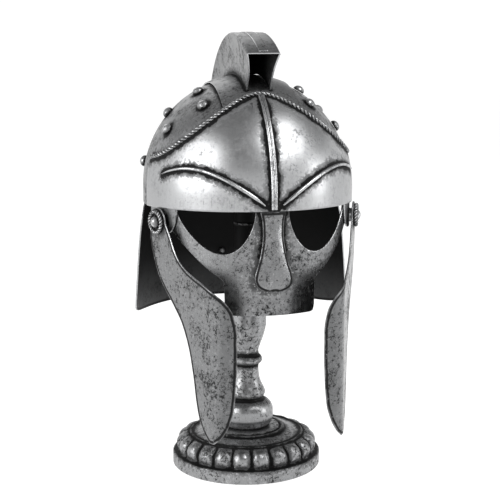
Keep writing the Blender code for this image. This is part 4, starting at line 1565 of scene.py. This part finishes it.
def sootLines():
    skull, brow, face, neck, crest, saddle = (Lines() for _ in range(6))
    rope = [ropeCentre(bearing)[0] for bearing in spread(240, -browForm["end"], browForm["end"])]
    skull.add(rope, cover=browForm["ropeRadius"])
    brow.add(rope, cover=browForm["ropeRadius"] + 0.0020)
    for side in (1, -1):
        brow.add(ribPath(side, ribLevel, 160), cover=ribForm["halfWidth"])
        across = side * saddleForm["halfWidth"]
        start = ropeStation(across)
        skull.add([midline(across, station, seat) for station in spread(160, start, saddleForm["end"])])
        end = side * browForm["end"]
        skull.add([skin(end, lift, 0.0) for lift in spread(20, browFoot(end), browTop(end))])
        feet = [crestFrame(share)[3] for share in spread(120)]
        crest.add([Vector((side * foot.x, foot.y, foot.z)) for foot in feet])
        point, normal = bossSeat(side)
        skull.add(circleAt(point, normal, bossForm["ringRadius"], 40), closed=True)
        face.add([nasalPoint(side, drop, 0.0) for drop in spread(80)])
    middle = [skin(0.0, lift, ribLevel) for lift in spread(80, browFoot(0.0), browForm["peakLift"])]
    brow.add(middle, cover=ribForm["centreHalfWidth"] + 0.0004)
    for point, normal in studSeats():
        skull.add(circleAt(point, normal, studForm["radius"], 32), closed=True)
    for point, normal in lapRivetSeats():
        skull.add(circleAt(point, normal, rivetForm["flange"], 24), closed=True)
    point, normal = napeRivetSeat()
    neck.add(circleAt(point, normal, rivetForm["flange"], 24), closed=True)
    for lines, first, last in ((face, -66.0, 66.0), (neck, 97.0, 263.0)):
        lines.add([skin(bearing, liftOf(plainRim(bearing)), -seat) for bearing in spread(120, first, last)])
    saddle.addAll(crest)
    saddle.add(rope)
    return {"skull": skull, "brow": brow, "face": face, "neck": neck, "crest": crest, "saddle": saddle}


soot = sootLines()
makeSkull(soot["skull"])
makeBrow(soot["brow"])
makeBrowRope()
makeRibs()
print("skull and brow made")
makeSaddle(soot["saddle"])
makeCrest(soot["crest"])
makeStuds()
print("crest and studs made")
makeFace(soot["face"])
makeNasal()
makeNeck(soot["neck"])
makeRivets()
print("face, nasal and neck made")
for name, side in bothSides:
    makeGuard("cheek_guard_" + name, side)
    makeBoss(name, side)
print("cheek guards made")
makeBase()
makeColumn()
makePost()
print("stand made")


# Floor, light and camera

stageForm = {
    "floor": 0.34, "glow": 0.84, "radius": 8.0, "cove": 1.2, "wall": 3.4, "ceiling": 0.24,
    "sides": 96, "sink": 0.0003,  # the floor lies a hair below the foot's flat underside
}
lightTable = [
    # name, place, aim height, width, height, power
    ("left", (-2.2, -0.55, 1.15), 0.32, 1.7, 1.9, 50.0),
    ("right", (1.05, -1.2, 2.1), 0.34, 1.7, 1.2, 46.0),
    ("strip", (2.1, -0.75, 0.65), 0.30, 0.35, 1.1, 9.0),
    ("back", (-0.2, 1.6, 1.5), 0.20, 1.4, 1.0, 6.0),
]
cameraForm = {
    "azimuth": -13.0, "distance": 1.3, "shift": 0.004, "height": 0.461, "pitch": 10.4,
    "lens": 93.744, "sensor": 36.0, "near": 0.05, "far": 60.0,
}


def makeStage():
    material = bpy.data.materials.new("pale_floor")
    material.use_nodes = True
    material.node_tree.nodes.clear()
    graph = Graph(material.node_tree)
    pale = (stageForm["floor"],) * 3 + (1.0,)
    shader = graph.add("ShaderNodeBsdfPrincipled", None, {
        "Base Color": pale, "Roughness": 0.9, "Emission Color": (1.0, 1.0, 1.0, 1.0),
        "Emission Strength": stageForm["glow"], "Specular IOR Level": 0.0,
    })
    graph.add("ShaderNodeOutputMaterial", None, {"Surface": shader})
    # a round floor that curves up into a wall, so that every side has the same pale ground
    radius, cove = stageForm["radius"], stageForm["cove"]
    rows = [(0.0, 0.0), (1.0, 0.0)] + arc(radius - cove, cove, cove, cove, -90.0, 0.0, 12)
    rows.append((radius, stageForm["wall"]))
    mesh = bmesh.new()
    rings = []
    for distance, height in rows:
        ring = []
        for step in range(stageForm["sides"]):
            angle = 2.0 * math.pi * step / stageForm["sides"]
            spot = (distance * math.cos(angle), distance * math.sin(angle), height - stageForm["sink"])
            ring.append(mesh.verts.new(spot))
        rings.append(ring)
    for one, other in zip(rings, rings[1:]):
        joinRings(mesh, one, other)
    bmesh.ops.remove_doubles(mesh, verts=mesh.verts, dist=0.0001)
    data = bpy.data.meshes.new("pale_floor")
    mesh.to_mesh(data)
    mesh.free()
    data.shade_smooth()
    data.materials.append(material)
    floor = bpy.data.objects.new("pale_floor", data)
    bpy.context.scene.collection.objects.link(floor)
    world = bpy.data.worlds.new("studio")
    world.use_nodes = True
    shade = (stageForm["ceiling"],) * 3 + (1.0,)
    world.node_tree.nodes["Background"].inputs["Color"].default_value = shade
    bpy.context.scene.world = world
    bpy.context.scene.view_settings.view_transform = "Standard"


def makeLights():
    for name, place, aim, width, height, power in lightTable:
        light = bpy.data.lights.new(name, "AREA")
        light.shape = "RECTANGLE"
        light.size, light.size_y, light.energy = width, height, power
        lamp = bpy.data.objects.new(name + "_light", light)
        lamp.location = place
        lamp.visible_camera = False
        toward = Vector((0.0, 0.0, aim)) - Vector(place)
        lamp.rotation_euler = toward.to_track_quat("-Z", "Y").to_euler()
        bpy.context.scene.collection.objects.link(lamp)


def makeCamera():
    turn, pitch = math.radians(cameraForm["azimuth"]), math.radians(cameraForm["pitch"])
    away, shift = cameraForm["distance"], cameraForm["shift"]
    camera = bpy.data.cameras.new("photo_camera")
    camera.lens, camera.sensor_width = cameraForm["lens"], cameraForm["sensor"]
    camera.clip_start, camera.clip_end = cameraForm["near"], cameraForm["far"]
    rig = bpy.data.objects.new("photo_camera", camera)
    rig.location = (
        away * math.sin(turn) + shift * math.cos(turn),
        -away * math.cos(turn) + shift * math.sin(turn),
        cameraForm["height"],
    )
    ahead = Vector((-math.sin(turn) * math.cos(pitch), math.cos(turn) * math.cos(pitch), -math.sin(pitch)))
    rig.rotation_euler = ahead.to_track_quat("-Z", "Y").to_euler()
    bpy.context.scene.collection.objects.link(rig)
    bpy.context.scene.camera = rig


makeStage()
makeLights()
makeCamera()
print("stage, lights and camera made")
